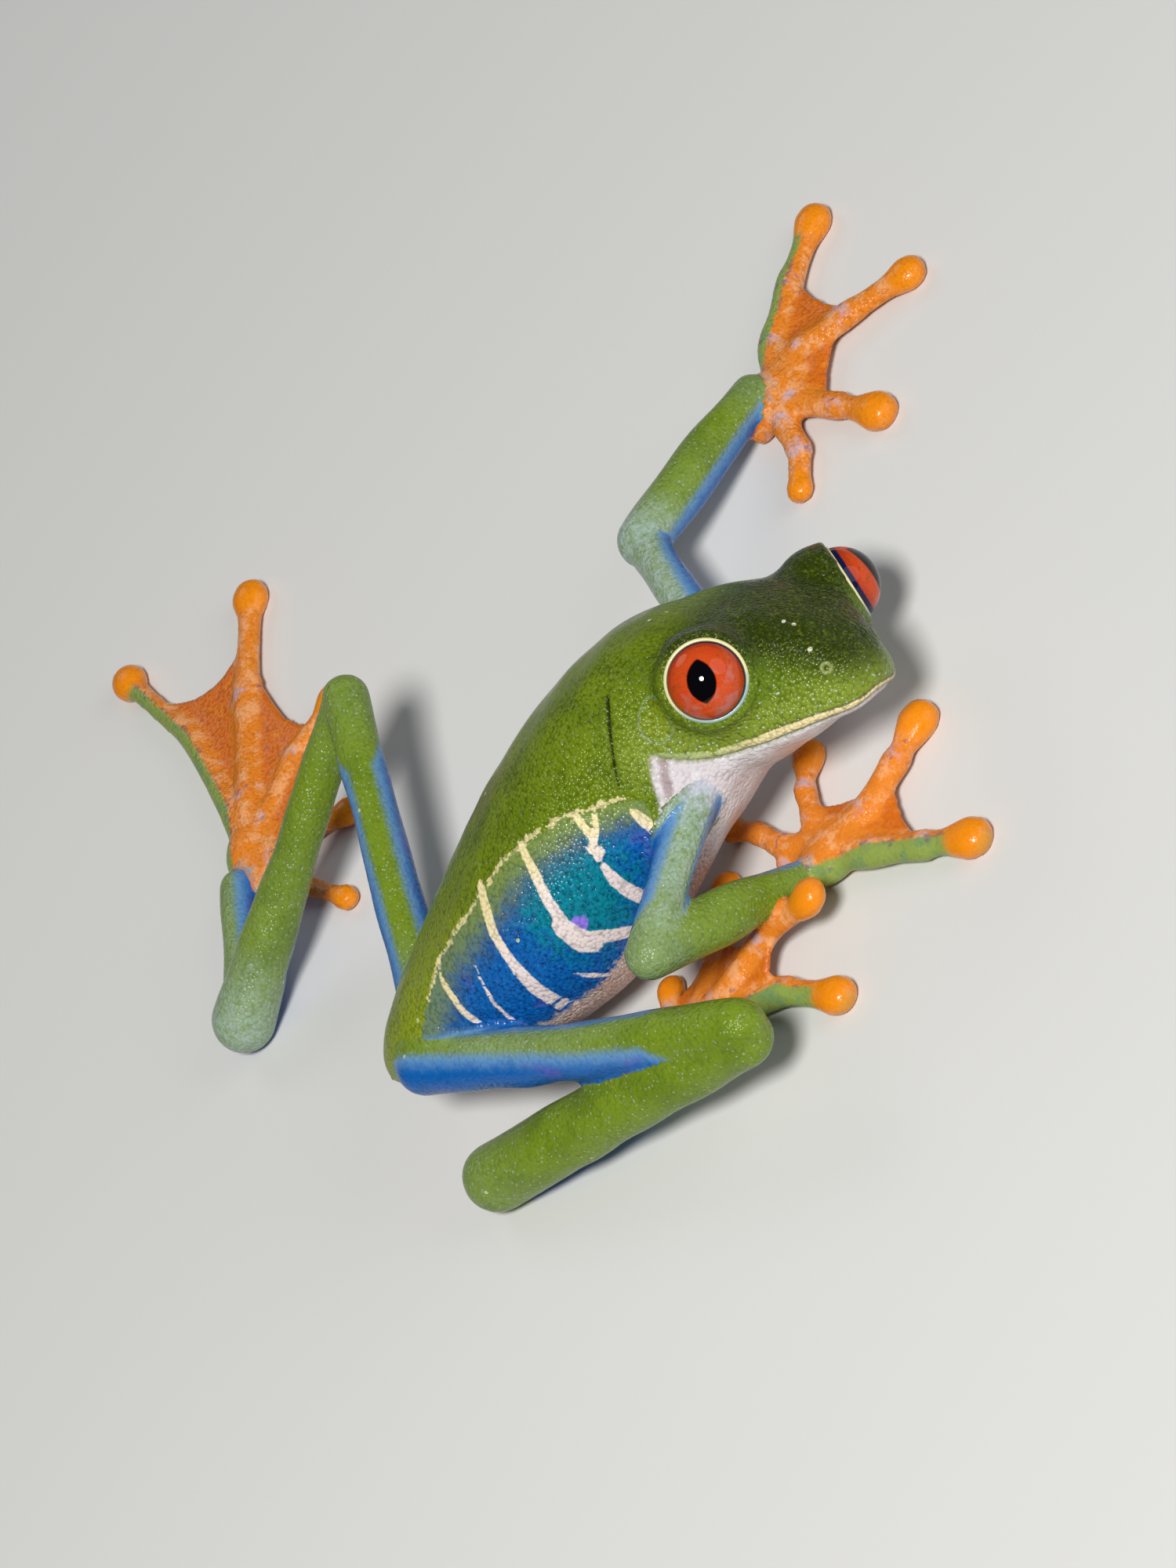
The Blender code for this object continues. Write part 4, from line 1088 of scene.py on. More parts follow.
@dataclass(frozen=True)
class Skin:
    """The whole skin in one surface: voxel union of the body's forms, filled at the joints, then sculpted.

    Sizes are in millimetres. A reach says how far from a joint the crease there is filled. Swells, rims and
    edges stand out of the skin, and depths go into it. A ripple has a height and a wave length.
    """

    trunk: Trunk
    head: Head
    eyes: list[Eye]
    limbs: list[LimbPiece]
    paws: list[Paw]
    voxel: float = 0.35
    fill_rounds: int = 44
    fill_step: float = 0.8
    fill_core: float = 0.6
    normals_every: int = 6
    neck_line: float = 32.5
    neck_reach: float = 5.0
    neck_share: float = 0.8
    shoulder_reach: float = 4.6
    hip_reach: float = 5.0
    joint_reach: float = 2.6
    palm_reach: float = 4.4
    lid_back: float = 1.6
    lid_reach: float = 5.2
    lid_zone: tuple = (4.6, 5.2)
    lip_swell: float = 0.11
    mouth_depth: float = 0.30
    lip_depth: float = 0.05
    nostril_rim: float = 0.09
    nostril_depth: float = 0.14
    drum_rim: float = 0.10
    drum_depth: float = 0.07
    ridge_swell: float = 0.12
    crease_edge: float = 0.10
    crease_depth: float = 0.24
    lid_swell: float = 0.08
    lid_radius: float = 3.35
    lid_drop: float = 0.25
    limb_ripple: tuple = (0.09, 5.0)
    body_ripple: tuple = (0.05, 3.1)
    limb_edge: float = 0.55
    off_mark: float = 5.0
    layers: ClassVar[dict[str, tuple]] = {
        "marks": ("blue", "cream", "lip"),
        "tones": ("pale", "orange", "disc"),
        "touch": ("joint", "frost", "web"),
        "hues": ("teal", "limb", "outer"),
        "zones": ("rear", "border", "ahead"),
        "folds": ("drum", "fold", "spot"),
        "ends": ("wrist", "lips", "crease"),
        "parts": ("chest", "crown", "arm"),
    }
    nodes: ClassVar[tuple] = ("head", "torso") + tuple(
        f"{part}_{side.word}"
        for part in ("upper_arm", "forearm", "hand", "thigh", "shank", "tarsus", "foot")
        for side in Side
    )

    def joints(self) -> list[tuple[Array, float]]:
        """Places where skin bridges from one part to the next, with the reach of each.

        Returns:
            Pairs of place and reach.
        """
        roots = {"upper_arm": self.shoulder_reach, "thigh": self.hip_reach}
        places = []
        for piece in self.limbs:
            part = piece.name.rsplit("_", 1)[0]
            places.append((piece.knots[0], roots.get(part, self.joint_reach)))
            places.append((piece.knots[-1], self.joint_reach))
        places += [(np.array(paw.palm), self.palm_reach) for paw in self.paws]
        places += [(eye.centre - eye.axis * self.lid_back, self.lid_reach) for eye in self.eyes]
        return places

    def cage(self) -> Form:
        """Every closed form that the skin is drawn round.

        Returns:
            The forms as one.
        """
        forms = [self.trunk.form(), self.head.form()]
        forms += [eye.bump_form() for eye in self.eyes]
        forms += [piece.form() for piece in self.limbs]
        for paw in self.paws:
            forms += paw.forms()
        return Form.joined(forms)

    def union(self) -> bpy.types.Mesh:
        """One closed mesh round the cage, by voxel remesh.

        Returns:
            The mesh.
        """
        source = bpy.data.objects.new("skin_cage", self.cage().mesh("skin_cage"))
        bpy.context.scene.collection.objects.link(source)
        remesh = source.modifiers.new("union", "REMESH")
        remesh.mode = "VOXEL"
        remesh.voxel_size = self.voxel * MM
        seen = bpy.context.evaluated_depsgraph_get()
        mesh = bpy.data.meshes.new_from_object(source.evaluated_get(seen))
        mesh.name = "skin"
        bpy.data.objects.remove(source, do_unlink=True)
        return mesh

    def fill(self, mesh: bpy.types.Mesh) -> None:
        """Fills the creases at the joints: near them each point moves to its neighbours' mean, outwards only.

        Args:
            mesh: The skin, changed in place.
        """
        points = read_points(mesh)
        edges = read_edges(mesh)
        everywhere = np.ones(len(points))
        points = fair(points, edges, everywhere, 3)
        near = np.zeros(len(points))
        for place, reach in self.joints():
            near = np.maximum(near, fall(distance(points, place), reach * self.fill_core, reach))
        neck = self.trunk.coordinates(points)[0]
        near = np.maximum(near, self.neck_share * bell(neck - self.neck_line, self.neck_reach))
        for k in range(self.fill_rounds):
            if k % self.normals_every == 0:
                write_points(mesh, points)
                normals = read_normals(mesh)
            step = pull(points, edges)
            inward = np.minimum((step * normals).sum(1), 0.0)
            points = points + near[:, None] * self.fill_step * (step - normals * inward[:, None])
        settle(mesh, fair(points, edges, everywhere, 2))

    def refine(self, mesh: bpy.types.Mesh) -> None:
        """Splits the faces of the face, the lids and the shoulders once more and smooths the new points.

        Args:
            mesh: The skin, changed in place.
        """
        points = read_points(mesh)
        local = self.head.local(points)
        along, around = self.trunk.coordinates(points)
        chosen = (local[:, 0] > -6.4) & (along > 29.0) & (np.abs(local[:, 1]) < 12.0) & (local[:, 2] > -8.0)
        chosen |= (along > 27.6) & (along < 34.0) & (np.abs(around) > 40.0) & (np.abs(around) < 86.0)
        chosen |= self.eye_gap(points) < self.lid_zone[0]
        chosen &= self.limb_gap(points) > 0.3
        work = bmesh.new()
        work.from_mesh(mesh)
        work.verts.ensure_lookup_table()
        edges = [edge for edge in work.edges if chosen[edge.verts[0].index] and chosen[edge.verts[1].index]]
        bmesh.ops.subdivide_edges(work, edges=edges, cuts=1, use_grid_fill=True)
        work.to_mesh(mesh)
        work.free()
        mesh.update()
        points = read_points(mesh)
        below = self.head.local(points)[:, 2] > -9.0
        near = rise(self.trunk.coordinates(points)[0], 26.8, 28.0) * below
        near = np.maximum(near, fall(self.eye_gap(points), *self.lid_zone))
        write_points(mesh, fair(points, read_edges(mesh), near, 3))

    def eye_gap(self, points: Array) -> Array:
        """Distance from the middle of the nearer eye."""
        return np.min([distance(points, eye.centre) for eye in self.eyes], axis=0)

    def limb_gap(self, points: Array) -> Array:
        """Distance outside the nearest limb or paw.

        Args:
            points: Points, (n, 3).
        Returns:
            One distance for each point.
        """
        gaps = [piece.marks(points)[0] for piece in self.limbs]
        gaps += [paw.marks(points)["gap"] for paw in self.paws]
        return np.min(gaps, axis=0)

    def sculpt(self, mesh: bpy.types.Mesh) -> None:
        """Moves points along their normals for lips, nostrils, eardrums, lids and folds.

        Args:
            mesh: The skin, changed in place.
        """
        points = read_points(mesh)
        normals = read_normals(mesh)
        local = self.head.local(points)
        body = rise(self.limb_gap(points), 0.2, 0.9)
        share, height, away, half = self.head.lip_place(local)
        near = fall(away, 0.9, 1.4) * body
        closed = 1.0 - 0.6 * rise(share, 0.72, 1.0)
        swell = self.lip_swell * bell(height, 0.34)
        move = near * (swell - self.mouth_depth * closed * bell(height + half + 0.10, 0.14))
        move -= near * self.lip_depth * bell(height - half - 0.08, 0.10)
        for side in Side:
            flip = local * (1.0, side.value, 1.0)
            nostril = distance(flip, self.head.nostril)
            move += self.nostril_rim * bell(nostril - 0.46, 0.2) - self.nostril_depth * bell(nostril, 0.15)
            oval = self.head.drum_place(flip)
            low = 1.0 - 0.6 * rise(flip[:, 2] - self.head.eardrum[2], 0.2, 1.4)
            move += self.drum_rim * bell(oval - 1.0, 0.13) * low - self.drum_depth * bell(oval, 0.75)
            for ridge, width in ((self.head.snout_ridge, 0.5), (self.head.ear_fold, 0.55)):
                part, off = segment_place(flip, *np.array(ridge))
                move += self.ridge_swell * bell(np.linalg.norm(off, axis=1), width) * np.sin(math.pi * part)
            ends, line = beside(flip, normals @ self.head.axes.T * (1.0, side.value, 1.0), np.array(self.head.crease))
            fade = rise(ends, 0.0, 0.15) * (1.0 - 0.5 * rise(ends, 0.8, 1.0)) * body
            move += fade * (self.crease_edge * bell(line - 0.42, 0.3) - self.crease_depth * bell(line, 0.16))
        for eye in self.eyes:
            out = points - eye.centre
            ahead = out @ eye.axis
            wide = np.linalg.norm(out - ahead[:, None] * eye.axis, axis=1) - self.lid_radius
            move += self.lid_swell * bell(np.hypot(wide, ahead - eye.lid_depth + self.lid_drop), 0.35)
        limbs = (1.0 - body) * rise(points[:, 2], 2.0, 3.0)
        for (tall, pitch), where in ((self.limb_ripple, limbs), (self.body_ripple, body)):
            move += tall * ripple(points, pitch) * where
        settle(mesh, points + normals * move[:, None])

    def body_marks(self, points: Array, normals: Array) -> dict[str, Array]:
        """Markings of the trunk and head.

        Args:
            points: Points, (n, 3).
            normals: The skin's outward directions there.
        Returns:
            Distances in millimetres, past or outside each marking's edge, and shares of 0 to 1.
        """
        along, around = self.trunk.coordinates(points)
        turned = np.abs(around)
        radius = self.trunk.radius(along)
        local = self.head.local(points)
        top = np.interp(along, *np.array(self.trunk.flank_top).T)
        low = np.interp(along, *np.array(self.trunk.belly_top).T)
        share, height, away, half = self.head.lip_place(local)
        ahead = rise(local[:, 0], -5.7, -4.7)
        belly = np.radians(turned - low) * radius
        throat = np.minimum(-height - half - 0.05, local[:, 0] - self.head.neck_edge)
        blue = np.radians(turned - top) * radius
        flat = self.trunk.unrolled(along, around)
        bars = [self.trunk.stripe_distance(flat, np.array(line)) for line in self.trunk.bars]
        edge_line = np.array([(s, a, self.trunk.border_half) for s, a in self.trunk.border])
        flip = self.head.mirrored(local)
        top_side = local[:, 2] + 0.26 * np.maximum(local[:, 0], 0.0) - 0.3 * np.maximum(flip[:, 1] - 2.0, 0.0)
        outward = normals @ self.head.axes.T
        outward[:, 1] *= np.where(local[:, 1] < 0.0, -1.0, 1.0)
        fold = beside(flip, outward, np.array(self.head.throat_fold))[1]
        crease = beside(flip, outward, np.array(self.head.crease))
        spot = np.linalg.norm(flat - self.trunk.unrolled(*np.array(self.trunk.spot)[:, None]), axis=1)
        return {
            "blue": blue * (1.0 - ahead) - 4.0 * ahead,
            "cream": np.min(bars, axis=0),
            "lip": away - half,
            "pale": belly * (1.0 - ahead) + throat * ahead,
            "teal": bell(along - 21.0, 4.6) * bell(turned - 84.0, 34.0) * (1.0 - ahead),
            "border": self.trunk.stripe_distance(flat, edge_line),
            "ahead": ahead,
            "lips": share,
            "drum": self.head.drum_place(flip),
            "fold": fold,
            "crease": crease[1] + 0.15 * fall(crease[0], 0.0, 0.12),
            "chest": rise(along, 25.0, 29.0),
            # the head's top and snout, to be painted darker as painted shade
            "crown": rise(top_side, -1.9, 1.0) * rise(local[:, 0], -7.5, -3.0),
            "arm": np.zeros(len(points)),
            "spot": spot,
            "rear": fall(along, 7.0, 20.0),
        }

    def limb_marks(self, points: Array, marks: dict[str, Array]) -> Array:
        """Puts the limbs' markings over the body's where a limb is near.

        Args:
            points: Points, (n, 3).
            marks: The body's markings, changed in place.
        Returns:
            Distance outside the nearest limb.
        """
        gap = np.full(len(points), self.limb_edge)
        marks |= {name: np.zeros(len(points)) for name in ("limb", "frost")}
        pale = marks["pale"]
        for piece in self.limbs:
            over, share, past = piece.marks(points)
            mine = over < gap
            gap = np.where(mine, over, gap)
            weight = np.where(mine, fall(over, 0.1, self.limb_edge), 0.0)
            marks["blue"] = marks["blue"] * (1.0 - weight) + past * weight
            marks["limb"] = np.where(mine, weight, marks["limb"])
            marks["frost"] = np.where(mine, np.interp(share, (0.0, 0.25, 0.75, 1.0), piece.frost), marks["frost"])
            if piece.name.startswith("upper_arm"):
                marks["arm"] = np.where(mine, fall(share, 0.02, 0.34), marks["arm"])
            marks["teal"] = marks["teal"] * (1.0 - weight)
        on_limb = gap < 0.5
        for name in ("cream", "border", "lip", "fold", "spot"):
            marks[name] = np.where(on_limb, self.off_mark, marks[name])
        armpit = marks["arm"] * np.clip(pale, -1.0, 1.0) - 4.0 * (1.0 - marks["arm"])
        marks["pale"] = np.where(on_limb, armpit, pale)
        return gap

    def paw_marks(self, points: Array, marks: dict[str, Array], gap: Array) -> None:
        """Adds the hands' and feet's markings.

        Args:
            points: Points, (n, 3).
            marks: Markings so far, added to in place.
            gap: Distance outside the nearest limb.
        """
        marks |= {name: np.zeros(len(points)) for name in ("orange", "disc", "joint", "web", "outer", "wrist")}
        for paw in self.paws:
            found = paw.marks(points)
            reach = distance(points, paw.wrist)
            mine = (found["gap"] < np.minimum(gap, 0.5) + 0.4) & (points[:, 2] < 5.4)
            share = np.where(gap < 0.5, mine * rise(gap, -0.25, 0.25) * rise(reach, 0.2, 1.6), mine * 1.0)
            marks["orange"] = np.maximum(marks["orange"], share)
            marks["wrist"] = np.maximum(marks["wrist"], bell(reach, 2.8) * mine)
            for name, source in (("disc", "disc"), ("joint", "joint"), ("web", "web"), ("outer", "edge")):
                marks[name] = np.maximum(marks[name], found[source] * mine)

    def paint(self, mesh: bpy.types.Mesh) -> None:
        """Keeps the places of the markings as attributes, in millimetres or as shares of 0 to 1.

        Args:
            mesh: The skin, given the attributes.
        """
        points = read_points(mesh)
        marks = self.body_marks(points, read_normals(mesh))
        self.paw_marks(points, marks, self.limb_marks(points, marks))
        for layer, names in self.layers.items():
            put_vectors(mesh, layer, np.stack([marks[name] for name in names], -1))

    def build(self) -> bpy.types.Object:
        """Makes the skin and hides the model's parts that it stands for.

        Returns:
            The skin's object.
        """
        mesh = self.union()
        LOG.info("skin union: %d points", len(mesh.vertices))
        self.fill(mesh)
        self.refine(mesh)
        self.sculpt(mesh)
        self.paint(mesh)
        mesh.materials.clear()
        LOG.info("limbs: %s", ", ".join(part.name for part in (*self.limbs, *self.paws)))
        piece = new_piece("skin", mesh)
        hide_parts(*self.nodes)
        return piece


class Value:
    """A number, colour or vector in a material, with the arithmetic that joins nodes."""

    def __init__(self, tree: bpy.types.NodeTree, socket: bpy.types.NodeSocket) -> None:
        """Wraps one output socket."""
        self.tree = tree
        self.socket = socket

    def math(self, operation: str, *others: object) -> "Value":
        """A Math node with this value first."""
        return node(self.tree, "ShaderNodeMath", {"operation": operation}, self, *others)

    def __add__(self, other: object) -> "Value":
        """self + other."""
        return self.math("ADD", other)

    def __radd__(self, other: object) -> "Value":
        """other + self."""
        return self.math("ADD", other)

    def __sub__(self, other: object) -> "Value":
        """self - other."""
        return self.math("SUBTRACT", other)

    def __rsub__(self, other: object) -> "Value":
        """other - self."""
        return node(self.tree, "ShaderNodeMath", {"operation": "SUBTRACT"}, other, self)

    def __mul__(self, other: object) -> "Value":
        """self * other."""
        return self.math("MULTIPLY", other)

    def __rmul__(self, other: object) -> "Value":
        """other * self."""
        return self.math("MULTIPLY", other)

    def rise(self, low: object, high: object) -> "Value":
        """A smooth step from 0 at low to 1 at high."""
        settings = {"interpolation_type": "SMOOTHSTEP", "clamp": True}
        return node(self.tree, "ShaderNodeMapRange", settings, self, low, high, 0.0, 1.0)

    def fall(self, low: object, high: object) -> "Value":
        """A smooth step from 1 at low to 0 at high."""
        return 1.0 - self.rise(low, high)

    def scale(self, size: object) -> "Value":
        """The vector times a number."""
        return node(self.tree, "ShaderNodeVectorMath", {"operation": "SCALE"}, self, Scale=size)

    def parts(self) -> tuple["Value", "Value", "Value"]:
        """The three numbers of a vector.

        Returns:
            Its x, y and z.
        """
        split = self.tree.nodes.new("ShaderNodeSeparateXYZ")
        join(self.tree, split.inputs[0], self)
        return tuple(Value(self.tree, split.outputs[k]) for k in range(3))

    def blend(self, other: object, share: object) -> "Value":
        """Colour that goes from this one to the other as share goes from 0 to 1.

        Args:
            other: The second colour.
            share: How much of it, 0 to 1.
        Returns:
            The mixed colour.
        """
        mix = self.tree.nodes.new("ShaderNodeMix")
        mix.data_type = "RGBA"
        join(self.tree, mix.inputs[0], share)
        join(self.tree, mix.inputs[6], self)
        join(self.tree, mix.inputs[7], other)
        return Value(self.tree, mix.outputs[2])


def join(tree: bpy.types.NodeTree, target: bpy.types.NodeSocket, value: object) -> None:
    """Feeds a value or a plain number or colour into a socket.

    Args:
        tree: Material's node tree.
        target: The socket.
        value: What goes into it.
    """
    if isinstance(value, Value):
        tree.links.new(value.socket, target)
    elif isinstance(value, tuple) and len(value) == 3 and len(target.default_value) == 4:
        target.default_value = (*value, 1.0)
    else:
        target.default_value = value


def node(
    tree: bpy.types.NodeTree, kind: str, settings: dict, *values: object, out: int = 0, **named: object
) -> Value:
    """Adds a node: settings first, then what goes into its sockets.

    Args:
        tree: Material's node tree.
        kind: Node type.
        settings: Node properties.
        values: What goes into the first sockets, in order.
        out: Which output is wanted.
        named: What goes into sockets by name.
    Returns:
        The chosen output.
    """
    made = tree.nodes.new(kind)
    for name, setting in settings.items():
        setattr(made, name, setting)
    for target, value in zip(made.inputs, values):
        join(tree, target, value)
    for name, value in named.items():
        join(tree, made.inputs[name.replace("_", " ")], value)
    return Value(tree, made.outputs[out])


class Shader:
    """One material's node tree, cleared down to its main surface node."""

    def __init__(self, name: str) -> None:
        """Starts a material.

        Args:
            name: The material's name.
        """
        self.material = bpy.data.materials.new(name)
        self.material.use_nodes = True
        self.tree = self.material.node_tree
        self.surface = self.tree.nodes["Principled BSDF"]

    def set(self, **sockets: object) -> None:
        """Feeds sockets of the surface by name."""
        for name, value in sockets.items():
            join(self.tree, self.surface.inputs[name.replace("_", " ")], value)

    def place(self) -> Value:
        """Object coordinates in millimetres."""
        return node(self.tree, "ShaderNodeTexCoord", {}, out=3).scale(1000.0)

    def kept(self, name: str) -> Value:
        """A vector kept in the mesh."""
        return node(self.tree, "ShaderNodeAttribute", {"attribute_name": name}, out=1)

    def mark(self, name: str) -> Value:
        """One of the skin's markings by its name.

        Args:
            name: A name in the skin's layers.
        Returns:
            Its distance or share.
        """
        layer = next(layer for layer, names in Skin.layers.items() if name in names)
        return self.kept(layer).parts()[Skin.layers[layer].index(name)]

    def away(self, place: Value, spot: Array) -> Value:
        """Millimetres from a spot on the floor frame."""
        where = tuple((spot + SHIFT).tolist())
        return node(self.tree, "ShaderNodeVectorMath", {"operation": "DISTANCE"}, place, where, out=1)

    def colour(self, shade: tuple) -> Value:
        """A plain colour.

        Args:
            shade: Linear red, green and blue.
        Returns:
            The colour.
        """
        made = self.tree.nodes.new("ShaderNodeRGB")
        made.outputs[0].default_value = (*shade, 1.0)
        return Value(self.tree, made.outputs[0])

    def noise(self, place: Value, pitch: float, detail: float = 2.0, roughness: float = 0.5) -> Value:
        """Soft noise of about 0 to 1, with lumps of a pitch in millimetres."""
        return node(self.tree, "ShaderNodeTexNoise", {"noise_dimensions": "3D"}, Vector=place, Scale=1.0 / pitch,
                    Detail=detail, Roughness=roughness)

    def cells(self, place: Value, pitch: float, feature: str = "F1") -> Value:
        """Distance to the nearest of scattered middles, or to the nearest edge between two, in pitches."""
        return node(self.tree, "ShaderNodeTexVoronoi", {"feature": feature}, Vector=place, Scale=1.0 / pitch)

    def bump(self, height: Value, depth: float, below: Value | None = None) -> Value:
        """Normals for a height of 0 to 1 that stands for a depth in millimetres."""
        return node(self.tree, "ShaderNodeBump", {}, Strength=1.0, Distance=depth * MM, Height=height,
                    **({"Normal": below} if below else {}))


@dataclass(frozen=True)
class SkinFinish:
    """Wet granular skin: linear colours and sizes in millimetres."""

    back: tuple = (0.150, 0.225, 0.006)
    back_deep: tuple = (0.085, 0.140, 0.004)
    back_light: tuple = (0.270, 0.340, 0.018)
    head: tuple = (0.120, 0.190, 0.008)
    # the cheek along the lip, painted lighter as painted light
    jaw: tuple = (0.230, 0.310, 0.032)
    # the head's top and snout, painted darker as painted shade
    crown: tuple = (0.022, 0.036, 0.001)
    limb: tuple = (0.180, 0.275, 0.018)
    limb_deep: tuple = (0.110, 0.185, 0.010)
    blue: tuple = (0.004, 0.120, 0.450)
    blue_dark: tuple = (0.004, 0.030, 0.130)
    teal: tuple = (0.002, 0.230, 0.300)
    violet: tuple = (0.130, 0.070, 0.500)
    fringe: tuple = (0.150, 0.330, 0.580)
    olive: tuple = (0.200, 0.280, 0.070)
    slate: tuple = (0.070, 0.130, 0.210)
    cream: tuple = (0.860, 0.740, 0.400)
    cream_low: tuple = (0.860, 0.740, 0.720)
    belly: tuple = (0.860, 0.620, 0.540)
    throat: tuple = (0.720, 0.660, 0.700)
    # brown painted shade along the throat's fold
    fold: tuple = (0.260, 0.150, 0.150)
    frost: tuple = (0.430, 0.560, 0.560)
    # pale blue-white painted highlight for the wet granules
    glint: tuple = (0.540, 0.620, 0.680)
    orange: tuple = (0.800, 0.240, 0.022)
    orange_light: tuple = (0.900, 0.430, 0.190)
    pad: tuple = (0.880, 0.270, 0.006)
    web: tuple = (0.640, 0.130, 0.004)
    joint: tuple = (0.560, 0.420, 0.530)
    wrist: tuple = (0.260, 0.360, 0.400)
    vein: tuple = (0.170, 0.095, 0.150)
    granule: float = 0.28
    coarse: float = 0.80
    drum_rim: tuple = (0.280, 0.380, 0.200)
    # near black painted shade for the crease behind the eardrum
    crease: tuple = (0.010, 0.020, 0.004)
    armpit: tuple = (0.600, 0.600, 0.740)
    blue_bright: tuple = (0.020, 0.260, 0.520)
    limb_under: tuple = (0.300, 0.240, 0.420)
    violet_spot: tuple = (0.290, 0.190, 0.800)
    belly_light: tuple = (0.850, 0.740, 0.660)
    # painted shade between the belly's granules
    belly_lines: tuple = (0.220, 0.170, 0.170)
    throat_light: tuple = (0.820, 0.780, 0.820)
    throat_brown: tuple = (0.560, 0.400, 0.420)
    outer_edge: tuple = (0.270, 0.360, 0.080)
    outer_deep: tuple = (0.100, 0.260, 0.160)
    lip_end: tuple = (0.340, 0.440, 0.160)
    # dark brown painted shade in the mouth's slit
    mouth: tuple = (0.100, 0.070, 0.060)
    # pale painted highlight where water droplets on the head shine
    speck: tuple = (0.800, 0.800, 0.520)
    # near black painted shade inside the nostrils
    nostril: tuple = (0.030, 0.040, 0.010)
    nostril_rim: tuple = (0.420, 0.480, 0.180)
    # pale painted highlight dots scattered off the head
    dust: tuple = (0.620, 0.680, 0.340)
    granule_depth: float = 0.110
    coarse_depth: float = 0.070
    film: float = 0.11
    film_depth: float = 0.010
    # places on the head of the painted water-droplet highlights
    specks: tuple = ((-8.0, 4.3, 2.6), (2.5, 2.0, 1.6), (3.25, 1.85, 1.3), (5.0, 2.85, -0.2))

    def green(self, shader: Shader, place: Value, ragged: Value, fine: Value) -> Value:
        """The green of back, head and limbs, mottled, with frost at the elbows, a yellower eardrum, painted shade on
        the head's top, snout and the crease behind the eardrum, painted light on the cheek and painted highlight
        dots.

        Args:
            shader: The skin's material.
            place: Object coordinates in millimetres.
            ragged: Noise that frays edges, about -0.5 to 0.5.
            fine: The same, with smaller lumps.
        Returns:
            The colour.
        """
        limb, rear, ahead, crown, drum = (shader.mark(name) for name in ("limb", "rear", "ahead", "crown", "drum"))
        lip = shader.mark("lip") + ragged * 2.0
        broad = shader.noise(place, 3.4)
        stipple = (fine + ragged * 0.6).rise(0.0, 0.32)
        body = shader.colour(self.back).blend(self.back_deep, broad.rise(0.42, 0.66) * 0.6)
        body = body.blend(self.head, ahead * 0.8).blend(self.back_light, rear * 0.75)
        # painted light: the cheek along the lip lighter; painted shade: the head's top and snout darker
        body = body.blend(self.jaw, lip.fall(0.4, 3.4) * 0.9).blend(self.crown, crown * 0.9)
        body = body.blend(self.back_light, stipple * 0.35)
        # painted highlights: pale dots where the wet granules shine, thickest on the cheek, fainter on limbs and body
        glint_zone = ahead * lip.fall(2.4, 4.8) * (1.0 - crown)
        glint_dots = (shader.cells(place, 0.42) + fine * 0.12).fall(0.10, 0.24)
        limbs = shader.colour(self.limb).blend(self.limb_deep, broad.rise(0.46, 0.70) * 0.55)
        limbs = limbs.blend(self.back_light, stipple * 0.25)
        body = body.blend(limbs, limb)
        body = body.blend(self.glint, glint_dots * (glint_zone * 0.70 + limb * 0.30 + 0.12))
        body = body.blend(self.back_light, drum.fall(0.6, 1.0) * 0.45)
        body = body.blend(self.drum_rim, (drum - 1.0).math("ABSOLUTE").fall(0.0, 0.13) * 0.45)
        # painted shade: the crease behind the eardrum painted near black
        body = body.blend(self.crease, (shader.mark("crease") + fine * 0.06).fall(0.03, 0.13) * 0.9)
        body = body.blend(self.frost, shader.mark("frost") * (0.62 + ragged * 1.1 + fine * 1.2))
        return body.blend(self.armpit, (shader.mark("arm") + ragged * 0.8).rise(0.1, 0.9) * 0.9)

    def flank(self, shader: Shader, place: Value, ragged: Value, fine: Value) -> Value:
        """The blue of flanks and limbs: olive and slate at the top edge, teal in the middle, dark network, violet.

        Args:
            shader: The skin's material.
            place: Object coordinates in millimetres.
            ragged: Noise that frays edges, about -0.5 to 0.5.
            fine: The same, with smaller lumps.
        Returns:
            The colour.
        """
        blue, teal, limb, rear = (shader.mark(name) for name in ("blue", "teal", "limb", "rear"))
        edge = blue + ragged * 2.2
        inner = edge.rise(1.0, 4.0)
        trunk = 1.0 - limb
        deep = shader.colour(self.blue).blend(self.teal, (teal + ragged * 0.9 - rear * 0.3).rise(0.2, 0.75))
        broad = shader.noise(place, 2.4) + ragged * 0.25
        deep = deep.blend(self.violet, broad.rise(0.60, 0.70) * (1.0 - teal) * 0.4)
        deep = deep.blend(self.slate, edge.fall(1.6, 4.4) * trunk * (1.0 - rear * 0.4))
        deep = deep.blend(self.olive, edge.fall(0.5, 3.1) * trunk * (1.0 - rear * 0.3))
        speckle = shader.noise(place, 0.30, 4.0, 0.75)
        deep = deep.blend(self.blue_dark, speckle.rise(0.50, 0.62) * inner * 0.7)
        deep = deep.blend(self.blue_bright, speckle.fall(0.36, 0.46) * inner * 0.5)
        deep = deep.blend(self.fringe, (blue + ragged * 0.8).fall(0.1, 1.5) * limb * 0.9)
        deep = deep.blend(self.limb_under, (blue + ragged).rise(4.2, 6.0) * limb * 0.6)
        spot = shader.mark("spot") + ragged * 0.7 + fine * 0.3
        return deep.blend(self.violet_spot, spot.fall(0.55, 0.75))

    def under(self, shader: Shader, place: Value, ragged: Value, fine: Value) -> Value:
        """The pale underside: beige granules on the belly with painted shade between them, lavender white on the
        throat with brown painted shade along its fold.

        Args:
            shader: The skin's material.
            place: Object coordinates in millimetres.
            ragged: Noise that frays edges, about -0.5 to 0.5.
            fine: The same, with smaller lumps.
        Returns:
            The colour.
        """
